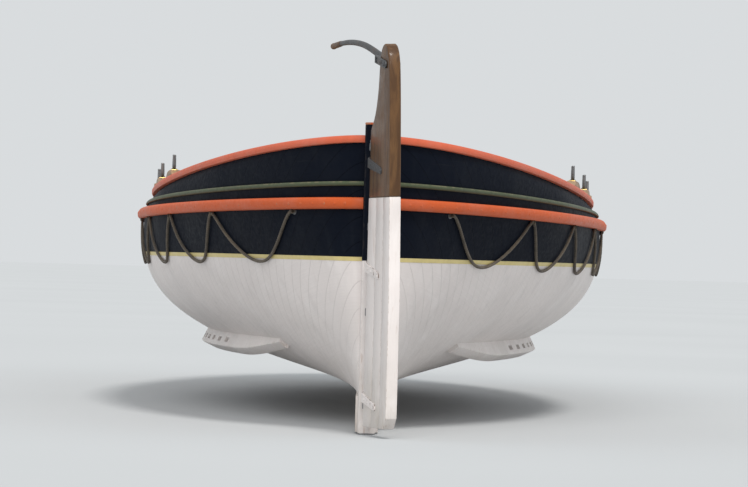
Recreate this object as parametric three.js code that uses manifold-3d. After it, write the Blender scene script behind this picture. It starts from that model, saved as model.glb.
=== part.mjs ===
// A pulling and sailing lifeboat, 43 ft long, with its foremast lowered and its oars and sails on the thwarts.
// Millimetres. +X runs to the bow, +Y to port, +Z up. The origin is amidships, at the waterline.
import * as THREE from "three";
import { mergeVertices } from "three/addons/utils/BufferGeometryUtils.js";
import Module from "manifold-3d";

const wasm = await Module();
wasm.setup();

// Driving dimensions of the hull
const HALF_LENGTH = 6550; // 43 ft over all, without the rudder
const HALF_BEAM = 1790; // moulded, so 3.7 m over the wales
const KEEL_BOTTOM = -790;
const RABBET = -550; // where the planking meets the keel
const PAINT_LINE = 330; // white below, blue above
const DECK_UNDER = 150;
const DECK_TOP = 180;
const SHEER_MID = 780;
const SHEER_BOW = 1230;
const SHEER_STERN = 1090;
const STERN_RAKE = 0.19; // sternpost: mm aft for each mm up
const STEM_RAKE = 0.08;
const FOREFOOT = 900; // how far the stem's curve cuts away the forefoot
const FULLNESS = { bow: 0.68, stern: 0.62 }; // plan: a lower power is a blunter end
const WIDEST = 0.86; // share of the height where the side is upright, amidships
const TUMBLEHOME = 0.05; // share of the breadth that the side falls in above that
const ROUNDNESS = { mid: 3, end: 1.4 }; // section powers, amidships and at the ends
const FLATNESS = { mid: 1.25, end: 1 };
const WALL = 55; // planking and timbers together
const END_HALF_SIDING = 60; // half the thickness of stem and sternpost
const KEEL_HALF_SIDING = 75;
const TOUCH = 0.3; // gap between pieces that touch
const LOOSE = 5; // gap of a piece fitted inside the curved planking

// Lines along the topsides
const WALE_MID = 646;
const WALE_RISE = 55; // how much higher the wale is at the ends
const WALE_HALF_HEIGHT = 38;
const WALE_PROUD = 55;
const MOULDING_ABOVE_WALE = 78;
const MOULDING_RISE = 50;
const MOULDING_HALF_HEIGHT = 15;
const MOULDING_PROUD = 24;
const CAP_OUT = 32;
const CAP_IN = 80;
const CAP_THICK = 50;
const CAP_GAP = 0.8; // the rail bridges the short straight edges of the topsides

// Stations are close together at the ends, where the waterlines turn in
const STATIONS_PER_END = 18;
const STATIONS = [];
for (let k = -STATIONS_PER_END; k <= STATIONS_PER_END; k++) {
  STATIONS.push(Math.sin(((Math.PI / 2) * k) / STATIONS_PER_END));
}

const MATERIALS = {
  white_paint: finish(0xded8cc, 0.55),
  blue_paint: finish(0x0b1420, 0.5),
  red_paint: finish(0xc4502c, 0.5),
  moulding_paint: finish(0x4c5a48, 0.55),
  grey_paint: finish(0x9aa09a, 0.6),
  varnish: finish(0x5a3c1c, 0.4),
  spar: finish(0xb07a3a, 0.4),
  oak: finish(0x8a6a44, 0.6),
  iron: finish(0x303234, 0.5, 0.8),
  plate: finish(0x6c7072, 0.5, 0.7),
  canvas: finish(0xc9bd9c, 0.9),
  rope: finish(0xb09a6c, 0.9),
};

function finish(color, roughness, metalness = 0) {
  return new THREE.MeshStandardMaterial({ color, roughness, metalness });
}

// Solids and meshes

function solidOf(geometry) {
  const bare = geometry.index ? geometry.toNonIndexed() : geometry.clone();
  bare.deleteAttribute("normal");
  bare.deleteAttribute("uv");
  const merged = mergeVertices(bare, 1e-3);
  return new wasm.Manifold(
    new wasm.Mesh({
      numProp: 3,
      vertProperties: merged.attributes.position.array,
      triVerts: new Uint32Array(merged.index.array),
    }),
  );
}

function geometryOf(solid) {
  const made = solid.getMesh();
  const geometry = new THREE.BufferGeometry();
  geometry.setAttribute("position", new THREE.BufferAttribute(made.vertProperties, 3));
  geometry.setIndex(new THREE.BufferAttribute(made.triVerts, 1));
  return geometry;
}

function faceted(points, faces) {
  const geometry = new THREE.BufferGeometry();
  geometry.setAttribute("position", new THREE.Float32BufferAttribute(points.flat(), 3));
  geometry.setIndex(faces.flat());
  return geometry;
}

function node(name, shape, material) {
  const geometry = shape.isBufferGeometry ? shape : geometryOf(shape);
  const mesh = new THREE.Mesh(geometry, MATERIALS[material]);
  mesh.name = name;
  return mesh;
}

// A port piece and its mirror image to starboard
function pair(name, shape, material) {
  const port = node(name + "_port", shape, material);
  const starboard = node(name + "_starboard", shape, material);
  starboard.scale.y = -1;
  return [port, starboard];
}

function box([x0, x1], [y0, y1], [z0, z1]) {
  const geometry = new THREE.BoxGeometry(x1 - x0, y1 - y0, z1 - z0);
  return solidOf(geometry.translate((x0 + x1) / 2, (y0 + y1) / 2, (z0 + z1) / 2));
}

function union(solids) {
  return solids.reduce((a, b) => a.add(b));
}

// A round bar from one end to the other, with a radius at each end
function bar(from, to, radius, endRadius = radius, sides = 12) {
  const a = new THREE.Vector3(...from);
  const b = new THREE.Vector3(...to);
  const geometry = new THREE.CylinderGeometry(endRadius, radius, a.distanceTo(b), sides);
  const turn = new THREE.Quaternion().setFromUnitVectors(
    new THREE.Vector3(0, 1, 0),
    b.clone().sub(a).normalize(),
  );
  const middle = a.add(b).multiplyScalar(0.5);
  return solidOf(geometry.applyQuaternion(turn).translate(middle.x, middle.y, middle.z));
}

// An outline in the X-Z plane, given a thickness from y0 to y1
function upright(outline, y0, y1) {
  const shape = new THREE.Shape(outline.map(([x, z]) => new THREE.Vector2(x, z)));
  const geometry = new THREE.ExtrudeGeometry(shape, { depth: y1 - y0, bevelEnabled: false });
  return solidOf(geometry.rotateX(Math.PI / 2).translate(0, y1, 0));
}

// A body that is the same to port and starboard: each section lists [x, half-breadth, z] from the bottom up
function symmetricBody(sections) {
  const rows = sections[0].length;
  const last = sections.length - 1;
  const points = sections.flat().flatMap(([x, y, z]) => [[x, y, z], [x, -y, z]]);
  const port = (i, j) => (i * rows + j) * 2;
  const starboard = (i, j) => port(i, j) + 1;
  const faces = [];
  const quad = (a, b, c, d) => faces.push([a, b, c], [a, c, d]);
  for (let i = 0; i < last; i++) {
    for (let j = 0; j < rows - 1; j++) {
      quad(port(i, j), port(i, j + 1), port(i + 1, j + 1), port(i + 1, j));
      quad(starboard(i, j), starboard(i + 1, j), starboard(i + 1, j + 1), starboard(i, j + 1));
    }
    quad(port(i, 0), port(i + 1, 0), starboard(i + 1, 0), starboard(i, 0));
    const top = rows - 1;
    quad(port(i, top), starboard(i, top), starboard(i + 1, top), port(i + 1, top));
  }
  for (let j = 0; j < rows - 1; j++) {
    quad(port(0, j), starboard(0, j), starboard(0, j + 1), port(0, j + 1));
    quad(port(last, j), port(last, j + 1), starboard(last, j + 1), starboard(last, j));
  }
  return solidOf(faceted(points, faces));
}

// A strake swept along the port side: each loop lists its corners from the inner bottom over the top
function sweptStrake(loops) {
  const corners = loops[0].length;
  const last = loops.length - 1;
  const at = (i, k) => i * corners + (k % corners);
  const faces = [];
  for (let i = 0; i < last; i++) {
    for (let k = 0; k < corners; k++) {
      faces.push([at(i, k), at(i + 1, k), at(i + 1, k + 1)], [at(i, k), at(i + 1, k + 1), at(i, k + 1)]);
    }
  }
  for (let k = 1; k < corners - 1; k++) {
    faces.push([at(0, 0), at(0, k), at(0, k + 1)], [at(last, 0), at(last, k + 1), at(last, k)]);
  }
  return solidOf(faceted(loops.flat(), faces));
}

// The hull's form

const mix = (a, b, share) => a + (b - a) * share;

function sheer(x) {
  const end = x > 0 ? SHEER_BOW : SHEER_STERN;
  return SHEER_MID + (end - SHEER_MID) * (x / HALF_LENGTH) ** 2;
}

// Where the planking ends on the stem (side 1) or the sternpost (side -1), at height z
function endX(side, z) {
  if (side < 0) return HALF_LENGTH - (SHEER_STERN - z) * STERN_RAKE;
  const down = (SHEER_BOW - z) / (SHEER_BOW - RABBET);
  return HALF_LENGTH - STEM_RAKE * (SHEER_BOW - z) - FOREFOOT * Math.max(down, 0) ** 4;
}

function xAt(u, z) {
  return u * endX(Math.sign(u) || 1, z);
}

// Half-breadth of the outside of the planking at station u (-1 stern, 1 bow) and height z
function halfBreadth(u, z) {
  const end = u * u;
  const fullness = u > 0 ? FULLNESS.bow : FULLNESS.stern;
  const greatest = mix(END_HALF_SIDING, HALF_BEAM, (1 - end) ** fullness);
  const top = sheer(u * HALF_LENGTH);
  const height = (z - RABBET) / (top - RABBET);
  const widest = mix(WIDEST, 1, end);
  if (height > widest) {
    const tumblehome = TUMBLEHOME * (1 - end);
    return greatest * (1 - tumblehome * ((height - widest) / (1 - widest + 1e-9)) ** 2);
  }
  const below = 1 - Math.max(height, 0) / widest;
  const roundness = mix(ROUNDNESS.mid, ROUNDNESS.end, end);
  const flatness = mix(FLATNESS.mid, FLATNESS.end, end);
  const share = (1 - below ** roundness) ** (1 / flatness);
  return mix(END_HALF_SIDING, greatest, share) + (KEEL_HALF_SIDING - END_HALF_SIDING) * below * (1 - end);
}

// The outward direction in plan at station u, height z
function planNormal(u, z) {
  if (Math.abs(u) === 1) return [u, 0];
  const step = 0.002;
  const dx = xAt(u + step, z) - xAt(u - step, z);
  const dy = halfBreadth(Math.min(u + step, 1), z) - halfBreadth(Math.max(u - step, -1), z);
  const length = Math.hypot(dx, dy);
  return [-dy / length, dx / length];
}

// Half-breadth of the inside of the planking at a place x along the boat
function innerHalf(x, z) {
  const u = x / endX(Math.sign(x) || 1, z);
  if (Math.abs(u) >= 0.995) return 0;
  return halfBreadth(u, z) - WALL / planNormal(u, z)[1];
}

const waleHeight = (u) => WALE_MID + WALE_RISE * u * u;
const mouldingHeight = (u) => waleHeight(u) + MOULDING_ABOVE_WALE + MOULDING_RISE * u * u;

// Rows of the planking: the strakes along the side stand on the same rows, so that they fit it
const BILGE_KEEL_ROWS = [-275, -225];
const BOTTOM_ROWS = [RABBET, -500, -430, -350, ...BILGE_KEEL_ROWS, -120, 0, 160, PAINT_LINE];
const sideRows = (u) => [
  PAINT_LINE,
  mix(PAINT_LINE, waleHeight(u), 0.45),
  waleHeight(u) - WALE_HALF_HEIGHT,
  waleHeight(u) + WALE_HALF_HEIGHT,
  mouldingHeight(u) - MOULDING_HALF_HEIGHT,
  mouldingHeight(u) + MOULDING_HALF_HEIGHT,
  sheer(u * HALF_LENGTH),
];

const outside = (rows) => STATIONS.map((u) => rows(u).map((z) => [xAt(u, z), halfBreadth(u, z), z]));

// The space inside the planking, above the underside of the deck and open at the top
const SPACE_END = 0.985; // station where the solid wood of the ends begins
const SPACE_SECTIONS = 17;
const SPACE_ABOVE = 300;

function interior(inset = 0) {
  const sections = [];
  for (let k = -SPACE_SECTIONS; k <= SPACE_SECTIONS; k++) {
    const u = Math.sin((Math.PI / 2) * (k / SPACE_SECTIONS)) * SPACE_END;
    const side = [0, 0.25, 0.5, 0.75, 1].map((share) => {
      const z = mix(DECK_UNDER, sheer(u * HALF_LENGTH), share);
      const x = xAt(u, z);
      return [x, Math.max(innerHalf(x, z), 12) - inset, z];
    });
    const [x, y, z] = side.at(-1);
    sections.push([...side, [x, y, z + SPACE_ABOVE]]);
  }
  return symmetricBody(sections);
}

// The same space less a working gap all round, which the pieces built into the boat are trimmed to
const room = interior(LOOSE).scale([0.998, 1, 1]);
const fitted = (solid) => solid.intersect(room);

// Drop keels: steel plates that swing down through slots in the keel

const DROP_KEELS = [
  { name: "fore", pivotX: 2650 },
  { name: "aft", pivotX: -1050 },
];
const PIVOT_Z = -650;
const PLATE_RADIUS = 1500;
const PLATE_BELOW = 120;
const PLATE_ABOVE = 850;
const PLATE_HALF_THICK = 8;
const SLOT_HALF = 18;
const SLOT_END_GAP = 12;
const PIVOT_PIN = 20;
const CASE_TOP = 534;
const CASE_CHEEK = 45;

const slotX = (pivotX) => [pivotX - PLATE_RADIUS - SLOT_END_GAP, pivotX + PLATE_BELOW + SLOT_END_GAP];

function slots(low, high) {
  return union(
    DROP_KEELS.map(({ pivotX }) => box(slotX(pivotX), [-SLOT_HALF, SLOT_HALF], [low, high])),
  );
}

function dropKeel({ name, pivotX }) {
  const outline = new THREE.Shape();
  const low = Math.asin(PLATE_BELOW / PLATE_RADIUS);
  const high = Math.asin(PLATE_ABOVE / PLATE_RADIUS);
  outline.moveTo(0, -PLATE_BELOW);
  outline.absarc(0, 0, PLATE_RADIUS, Math.PI + low, Math.PI - high, true);
  outline.lineTo(-170, PLATE_ABOVE);
  outline.absarc(0, 0, PLATE_BELOW, Math.PI * 0.1, -Math.PI / 2, true);
  const plate = new THREE.ExtrudeGeometry(outline, {
    depth: 2 * PLATE_HALF_THICK,
    bevelEnabled: false,
    curveSegments: 8,
  });
  plate.rotateX(Math.PI / 2).translate(pivotX, PLATE_HALF_THICK, PIVOT_Z);
  const hole = bar([pivotX, -20, PIVOT_Z], [pivotX, 20, PIVOT_Z], PIVOT_PIN + 1);
  return node("drop_keel_" + name, solidOf(plate).subtract(hole), "plate");
}

function centreCase({ name, pivotX }) {
  const [from, to] = slotX(pivotX);
  const half = SLOT_HALF + CASE_CHEEK;
  const height = [DECK_TOP + TOUCH, CASE_TOP];
  const outer = box([from - CASE_CHEEK, to + CASE_CHEEK], [-half, half], height);
  const slot = box([from, to], [-SLOT_HALF, SLOT_HALF], [0, CASE_TOP + 1]);
  return node("centre_case_" + name, outer.subtract(slot), "grey_paint");
}

// Hull, backbone and strakes

function hull() {
  const space = interior();
  const bottom = symmetricBody(outside(() => BOTTOM_ROWS));
  const aboveBottom = (row) => row.map(([x, y, z], j) => [x, y, j ? z : z + TOUCH]);
  const topsides = symmetricBody(outside(sideRows).map(aboveBottom));
  return [
    node("hull_bottom", bottom.subtract(space).subtract(slots(RABBET - 1, DECK_UNDER + 1)), "white_paint"),
    node("hull_topsides", topsides.subtract(space), "blue_paint"),
  ];
}

const STEM_HEAD = 1350;
const STEM_FACE = 6680;
const STEM_BOTTOM_X = 5450;
const POST_DEPTH = 150; // fore-and-aft size of the sternpost
const POST_HEAD = 1215;
const KEEL_FORE_END = 5380;

// The fore side of the stem, which runs down into the keel
function stemFace(z) {
  const share = (STEM_HEAD - z) / (STEM_HEAD - KEEL_BOTTOM);
  const drop = STEM_FACE - STEM_RAKE * (STEM_HEAD - KEEL_BOTTOM) - STEM_BOTTOM_X;
  return STEM_FACE - STEM_RAKE * (STEM_HEAD - z) - drop * share ** 4.5;
}

function backbone() {
  const stemRows = [...BOTTOM_ROWS, ...sideRows(1).slice(1)];
  const inner = stemRows.map((z) => [endX(1, z) + TOUCH, z]);
  const heel = [[KEEL_FORE_END + TOUCH, KEEL_BOTTOM], [KEEL_FORE_END + TOUCH, RABBET - TOUCH]];
  const throat = [[endX(1, RABBET) + TOUCH, RABBET - TOUCH]];
  const head = [[endX(1, SHEER_BOW) + 20, STEM_HEAD - 25], [endX(1, SHEER_BOW) + 45, STEM_HEAD]];
  const face = [STEM_HEAD, 1200, 900, 500, 200, 0, -200, -350, -480, -590, -680, -740, KEEL_BOTTOM];
  const outer = face.map((z) => [stemFace(z), z]);
  const stemOutline = [...heel, ...throat, ...inner.slice(1), ...head, ...outer];
  const stem = upright(stemOutline, -END_HALF_SIDING, END_HALF_SIDING);

  const postInner = (z) => -endX(-1, z) - TOUCH;
  const post = upright(
    [
      [postInner(KEEL_BOTTOM), KEEL_BOTTOM],
      [postInner(POST_HEAD), POST_HEAD],
      [postInner(POST_HEAD) - POST_DEPTH, POST_HEAD],
      [postInner(KEEL_BOTTOM) - POST_DEPTH, KEEL_BOTTOM],
    ],
    -END_HALF_SIDING,
    END_HALF_SIDING,
  );

  const keelOutline = [
    [postInner(KEEL_BOTTOM) + 2 * TOUCH, KEEL_BOTTOM],
    [KEEL_FORE_END, KEEL_BOTTOM],
    [KEEL_FORE_END, RABBET - TOUCH],
    [postInner(RABBET) + 2 * TOUCH, RABBET - TOUCH],
  ];
  const keel = upright(keelOutline, -KEEL_HALF_SIDING, KEEL_HALF_SIDING).subtract(slots(-900, -500));
  const pins = DROP_KEELS.map(({ pivotX }) => bar([pivotX, -40, PIVOT_Z], [pivotX, 40, PIVOT_Z], PIVOT_PIN));

  const bandX = [postInner(KEEL_BOTTOM) - POST_DEPTH, STEM_BOTTOM_X];
  const band = box(bandX, [-50, 50], [KEEL_BOTTOM - 10, KEEL_BOTTOM - TOUCH]).subtract(slots(-900, -500));
  return [
    node("stem", stem, "white_paint"),
    node("sternpost", post, "white_paint"),
    node("keel", union([keel, ...pins]), "white_paint"),
    node("keel_band", band, "iron"),
  ];
}

// A strake on the planking between two rows, standing proud by a width, with its outer edges bevelled
function strake(rows, proud, bevel) {
  return sweptStrake(
    STATIONS.map((u) => {
      const [low, high] = rows(u);
      const at = (z, out, edge = 0) => {
        const [nx, ny] = planNormal(u, z);
        const y = halfBreadth(u, z) + ny * out;
        return [xAt(u, z) + nx * out, Math.max(y, END_HALF_SIDING + TOUCH), z + edge];
      };
      return [
        at(low, TOUCH),
        at(high, TOUCH),
        at(high, proud - bevel),
        at(high, proud, -bevel),
        at(low, proud, bevel),
        at(low, proud - bevel),
      ];
    }),
  );
}

function rail() {
  return sweptStrake(
    STATIONS.map((u) => {
      const z = sheer(u * HALF_LENGTH);
      const [nx, ny] = planNormal(u, z);
      const at = (out, height) => {
        const y = Math.max(halfBreadth(u, z) + ny * out, END_HALF_SIDING + TOUCH);
        return [xAt(u, z) + nx * out, y, z + height];
      };
      return [at(-CAP_IN, CAP_GAP), at(-CAP_IN, CAP_THICK), at(CAP_OUT, CAP_THICK), at(CAP_OUT, CAP_GAP)];
    }),
  );
}

// Rowlocks: iron crutches in the rail, one for each oar
const THWARTS = [2500, 1450, 400, -650, -1700, -2750];
const ROWLOCK_FROM_THWART = -420; // aft of the thwart, where the oar is pulled
const ROWLOCK = { stem: 14, inRail: 10, height: 60, arm: 12, half: 58, reach: 90, fromSide: 22, spread: 6 };

function rowlock(x) {
  const { stem, inRail, height, arm, half, reach, fromSide, spread } = ROWLOCK;
  const u = x / endX(Math.sign(x), sheer(x));
  const y = halfBreadth(u, sheer(x)) - fromSide;
  const z = sheer(x) + CAP_THICK;
  const bend = z + height;
  const horn = (side) => {
    const from = [x + side * (half - spread), y, bend];
    return bar(from, [x + side * (half + spread), y, bend + reach], arm, arm, 8);
  };
  return union([
    bar([x, y, z - inRail], [x, y, bend], stem, stem, 8),
    box([x - half, x + half], [y - stem, y + stem], [bend - arm, bend + arm]),
    horn(-1),
    horn(1),
  ]);
}

const BILGE_KEEL_REACH = 9; // stations each side of amidships
const BILGE_KEEL_DEPTH = 110;
const BILGE_KEEL_TAPER = [25, 62, 92]; // depths at the last stations towards each end

function bilgeKeel() {
  const middle = STATIONS_PER_END;
  const stations = STATIONS.slice(middle - BILGE_KEEL_REACH, middle + BILGE_KEEL_REACH + 1);
  const last = stations.length - 1;
  return sweptStrake(
    stations.map((u, i) => {
      const [low, high] = BILGE_KEEL_ROWS;
      const depth = BILGE_KEEL_TAPER[Math.min(i, last - i)] ?? BILGE_KEEL_DEPTH;
      const at = (z) => [xAt(u, z), halfBreadth(u, z) + TOUCH, z - TOUCH];
      const down = ([x, y, z]) => [x, y + depth * 0.45, z - depth * 0.9];
      return [at(low), at(high), down(at(high)), down(at(low))];
    }),
  );
}

function strakes() {
  const wale = strake(
    (u) => [waleHeight(u) - WALE_HALF_HEIGHT, waleHeight(u) + WALE_HALF_HEIGHT],
    WALE_PROUD,
    14,
  );
  const moulding = strake(
    (u) => [mouldingHeight(u) - MOULDING_HALF_HEIGHT, mouldingHeight(u) + MOULDING_HALF_HEIGHT],
    MOULDING_PROUD,
    4,
  );
  const locks = THWARTS.map((x) => rowlock(x + ROWLOCK_FROM_THWART));
  return [
    ...pair("wale", wale, "red_paint"),
    ...pair("moulding", moulding, "moulding_paint"),
    ...pair("rail", union([rail(), ...locks]), "red_paint"),
    ...pair("bilge_keel", bilgeKeel(), "white_paint"),
  ];
}

// Inside the boat: deck, air cases, thwarts

function deck() {
  const floor = box([-HALF_LENGTH, HALF_LENGTH], [-HALF_BEAM, HALF_BEAM], [DECK_UNDER + TOUCH, DECK_TOP]);
  return node("deck", fitted(floor).subtract(slots(0, 300)), "grey_paint");
}

// An air case that fills one end of the boat under a rounded top
const END_CASES = [
  { name: "air_case_bow", from: 4900, to: 6500 },
  { name: "air_case_stern", from: -5350, to: -6500 },
];
const CASE_CAMBER = 0.17; // rise of the top as a share of its half-breadth
const CASE_UNDER_RAIL = 45;

function endCase({ name, from, to }) {
  const steps = 8;
  const sections = [];
  for (let i = 0; i <= steps; i++) {
    const x = mix(Math.min(from, to), Math.max(from, to), i / steps);
    const edge = sheer(x) - CASE_UNDER_RAIL;
    const half = Math.max(innerHalf(x, edge), 12);
    const crown = [1, 0.8, 0.55, 0.25, 0.03].map((share) => [
      x,
      half * share,
      edge + CASE_CAMBER * half * (1 - share * share),
    ]);
    sections.push([[x, half, DECK_TOP + TOUCH], ...crown]);
  }
  return node(name, fitted(symmetricBody(sections)), "grey_paint");
}

const SIDE_CASE = { from: -3700, to: 3400, inner: 1090, top: 430 };

function sideCase() {
  const { from, to, inner, top } = SIDE_CASE;
  return fitted(box([from, to], [inner, HALF_BEAM], [DECK_TOP + TOUCH, top]));
}

const THWART = { half: 125, top: 580, thick: 45, chock: [1180, 1330], chockHalf: 45 };
const STANCHION_HALF = 35;
const STANCHIONS_UNDER = [3, 4, 6]; // the other thwarts cross a centre case
const HOUSED = 5; // depth that one timber is let into another

function thwart(x, number) {
  const under = THWART.top - THWART.thick;
  const plank = box([x - THWART.half, x + THWART.half], [-HALF_BEAM, HALF_BEAM], [under, THWART.top]);
  const support = (half, y, low) => box([x - half, x + half], y, [low + TOUCH, under + HOUSED]);
  const [inner, outer] = THWART.chock;
  const supports = [
    support(THWART.chockHalf, [inner, outer], SIDE_CASE.top),
    support(THWART.chockHalf, [-outer, -inner], SIDE_CASE.top),
  ];
  if (STANCHIONS_UNDER.includes(number)) {
    supports.push(support(STANCHION_HALF, [-STANCHION_HALF, STANCHION_HALF], DECK_TOP));
  }
  return node("thwart_" + number, union([fitted(plank), ...supports]), "oak");
}

// Square posts with an iron pin across them, for the mooring and towing ropes
const BITT = { half: 65, pin: 22, pinReach: 190, pinBelowTop: 110 };
const BITTS = [
  { name: "bitt_bow", x: 4650, y: 0, top: 1120 },
  { name: "bitt_stern_port", x: -5050, y: 420, top: 1080 },
  { name: "bitt_stern_starboard", x: -5050, y: -420, top: 1080 },
];

function bitt({ name, x, y, top }) {
  const { half, pin, pinReach, pinBelowTop } = BITT;
  const post = box([x - half, x + half], [y - half, y + half], [DECK_TOP + TOUCH, top]);
  const z = top - pinBelowTop;
  return node(name, post.add(bar([x, y - pinReach, z], [x, y + pinReach, z], pin)), "oak");
}

const LOCKER = { x: -4470, half: 150, top: 520, lidOverhang: 20, lidTop: 545 };

function compassLocker() {
  const { x, half, top, lidOverhang, lidTop } = LOCKER;
  const over = half + lidOverhang;
  const body = box([x - half, x + half], [-half, half], [DECK_TOP + TOUCH, top]);
  const lid = box([x - over, x + over], [-over, over], [top - HOUSED, lidTop]);
  return node("compass_locker", body.add(lid), "varnish");
}

// The foremast, lowered aft about a pin in its tabernacle

const MAST_PIVOT = { x: 3150, z: 720 };
const MAST = { length: 7300, heel: 400, foot: 85, head: 50, sides: 14 };
const MAST_PIN = 20;
const TABERNACLE = { half: 130, gap: 12, cheek: 60, aboveHinge: 130, stepTop: 300, pinPastCheek: 20 };
const CRUTCH = { x: -3900, half: 35, gap: 9, arm: 34, yoke: 70, aboveMast: 60 };
const CRUTCH_POST = { half: 50, footHalf: 120, footTop: 215 };

function mastRadius(x) {
  return mix(MAST.foot, MAST.head, (MAST_PIVOT.x - x) / MAST.length);
}

function foremast() {
  const { x, z } = MAST_PIVOT;
  const spar = union([
    bar([x + 0.1, 0, z], [x - MAST.length, 0, z], MAST.foot, MAST.head, MAST.sides),
    bar([x + MAST.heel, 0, z], [x, 0, z], MAST.foot, MAST.foot, MAST.sides),
  ]);
  const hole = bar([x, -2 * MAST.foot, z], [x, 2 * MAST.foot, z], MAST_PIN + 1);
  return node("foremast", spar.subtract(hole), "spar");
}

function tabernacle() {
  const { x, z } = MAST_PIVOT;
  const { half, gap, cheek, aboveHinge, stepTop, pinPastCheek } = TABERNACLE;
  const inner = MAST.foot + gap;
  const outer = inner + cheek;
  const alongX = [x - half, x + half];
  const low = DECK_TOP + TOUCH;
  const pinEnd = outer + pinPastCheek;
  return node(
    "tabernacle",
    union([
      box(alongX, [-outer, outer], [low, stepTop]),
      box(alongX, [inner, outer], [low, z + aboveHinge]),
      box(alongX, [-outer, -inner], [low, z + aboveHinge]),
      bar([x, -pinEnd, z], [x, pinEnd, z], MAST_PIN),
    ]),
    "oak",
  );
}

function mastCrutch() {
  const { x, half, gap, arm, yoke, aboveMast } = CRUTCH;
  const { half: post, footHalf: foot, footTop } = CRUTCH_POST;
  const { z } = MAST_PIVOT;
  const radius = mastRadius(x);
  const seat = z - radius - TOUCH;
  const inner = radius + gap;
  const outer = inner + arm;
  const alongX = [x - half, x + half];
  return node(
    "mast_crutch",
    union([
      box(alongX, [-post, post], [DECK_TOP + TOUCH, seat]),
      box(alongX, [-outer, outer], [seat - yoke, seat]),
      box(alongX, [inner, outer], [seat - yoke, z + aboveMast]),
      box(alongX, [-outer, -inner], [seat - yoke, z + aboveMast]),
      box([x - foot, x + foot], [-foot, foot], [DECK_TOP + TOUCH, footTop]),
    ]),
    "oak",
  );
}

// A tapered bar that lies level on its underside
function lyingBar([fromX, toX], radius, endRadius, sides) {
  return bar([fromX, 0, radius], [toX, 0, endRadius], radius, endRadius, sides);
}

// Spars, sails and oars lie on the thwarts
function laid(solid, y) {
  const lowest = solid.boundingBox().min[2];
  return solid.translate([0, y, THWART.top + TOUCH - lowest]);
}

const STOWED = [
  { name: "fore_yard", material: "spar", y: 190, alongX: [2300, -2950], radii: [42, 30], sides: 10 },
  { name: "fore_sail", material: "canvas", y: 345, alongX: [1900, -2500], radii: [105, 92], sides: 12 },
  { name: "mizzen_mast", material: "spar", y: -195, alongX: [2450, -2350], radii: [58, 40], sides: 12 },
  { name: "mizzen_sail", material: "canvas", y: -355, alongX: [1500, -2100], radii: [92, 84], sides: 12 },
];

function stowed({ name, material, y, alongX, radii, sides }) {
  return node(name, laid(lyingBar(alongX, ...radii, sides), y), material);
}

const OAR = { loom: 30, neck: 24, length: 4700, blade: 640, bladeHalf: 72, bladeHalfThick: 12, from: 2350 };
const OAR_ROWS = [1110, 1265, 1420];
const OAR_LAYER = 61; // the second layer lies this much higher
const OAR_LASHING = { x: [1760, -440], half: 30, past: 36 };

function oar(y, z) {
  const { loom, neck, length, blade, bladeHalf, bladeHalfThick, from } = OAR;
  const shoulder = from - length + blade;
  const shaft = lyingBar([from, shoulder - bladeHalfThick], loom, neck, 8);
  const thick = [neck - bladeHalfThick, neck + bladeHalfThick];
  const flat = box([from - length, shoulder], [-bladeHalf, bladeHalf], thick);
  return shaft.add(flat).translate([0, y, z]);
}

function oars() {
  const all = OAR_ROWS.flatMap((y) => [oar(y, 0), oar(y, OAR_LAYER)]);
  const [inner, , outer] = OAR_ROWS;
  const { half, past } = OAR_LASHING;
  const low = 0.75 * OAR.loom;
  const lashings = OAR_LASHING.x.map((x) =>
    box([x - half, x + half], [inner - past, outer + past], [low, OAR_LAYER + 1.4 * OAR.loom]),
  );
  return pair("oars", laid(union([...all, ...lashings]), 0), "spar");
}

// Lifelines: a rope under each wale, hanging in bights to hold on to from the water

const LIFELINE = { radius: 11, clear: 3, bights: 10, steps: 8, drop: 330, from: -0.93, to: 0.93 };
const LIFELINE_SIDES = 8;
const LIFELINE_FLAT = LIFELINE.radius * Math.cos(Math.PI / LIFELINE_SIDES); // from its middle to a flat
const LIFELINE_TURN = 0.22; // a larger share turns more gently where two bights meet

// How far a bight hangs down, as a share of its drop, at a share along it
function bightSag(along) {
  const eased = (depth) => Math.hypot(depth, LIFELINE_TURN) - LIFELINE_TURN;
  return eased(1 - (2 * along - 1) ** 2) / eased(1);
}

function lifelinePoint(share) {
  const u = mix(LIFELINE.from, LIFELINE.to, share);
  const along = (share * LIFELINE.bights) % 1;
  const top = waleHeight(u) - WALE_HALF_HEIGHT - LIFELINE_FLAT - TOUCH;
  const z = top - LIFELINE.drop * bightSag(along);
  const [nx, ny] = planNormal(u, z);
  const out = LIFELINE.radius + LIFELINE.clear;
  return [xAt(u, z) + nx * out, halfBreadth(u, z) + ny * out, z];
}

function lifeline() {
  const count = LIFELINE.bights * LIFELINE.steps;
  const rings = [];
  for (let i = 0; i <= count; i++) {
    const here = new THREE.Vector3(...lifelinePoint(i / count));
    const before = new THREE.Vector3(...lifelinePoint(Math.max(i - 0.5, 0) / count));
    const after = new THREE.Vector3(...lifelinePoint(Math.min(i + 0.5, count) / count));
    const along = after.sub(before).normalize();
    if (i % LIFELINE.steps === 0) along.set(1, 0, 0);
    const side = new THREE.Vector3(0, 1, 0).cross(along).normalize();
    const up = along.clone().cross(side);
    rings.push(
      Array.from({ length: LIFELINE_SIDES }, (_, k) => {
        const turn = (-2 * Math.PI * (k + 0.5)) / LIFELINE_SIDES;
        return here
          .clone()
          .addScaledVector(side, LIFELINE.radius * Math.cos(turn))
          .addScaledVector(up, LIFELINE.radius * Math.sin(turn))
          .toArray();
      }),
    );
  }
  return pair("lifeline", sweptStrake(rings), "rope");
}

// The rudder hangs on a long iron rod along the raked sternpost. Its group's Z axis is that rod.

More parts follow.
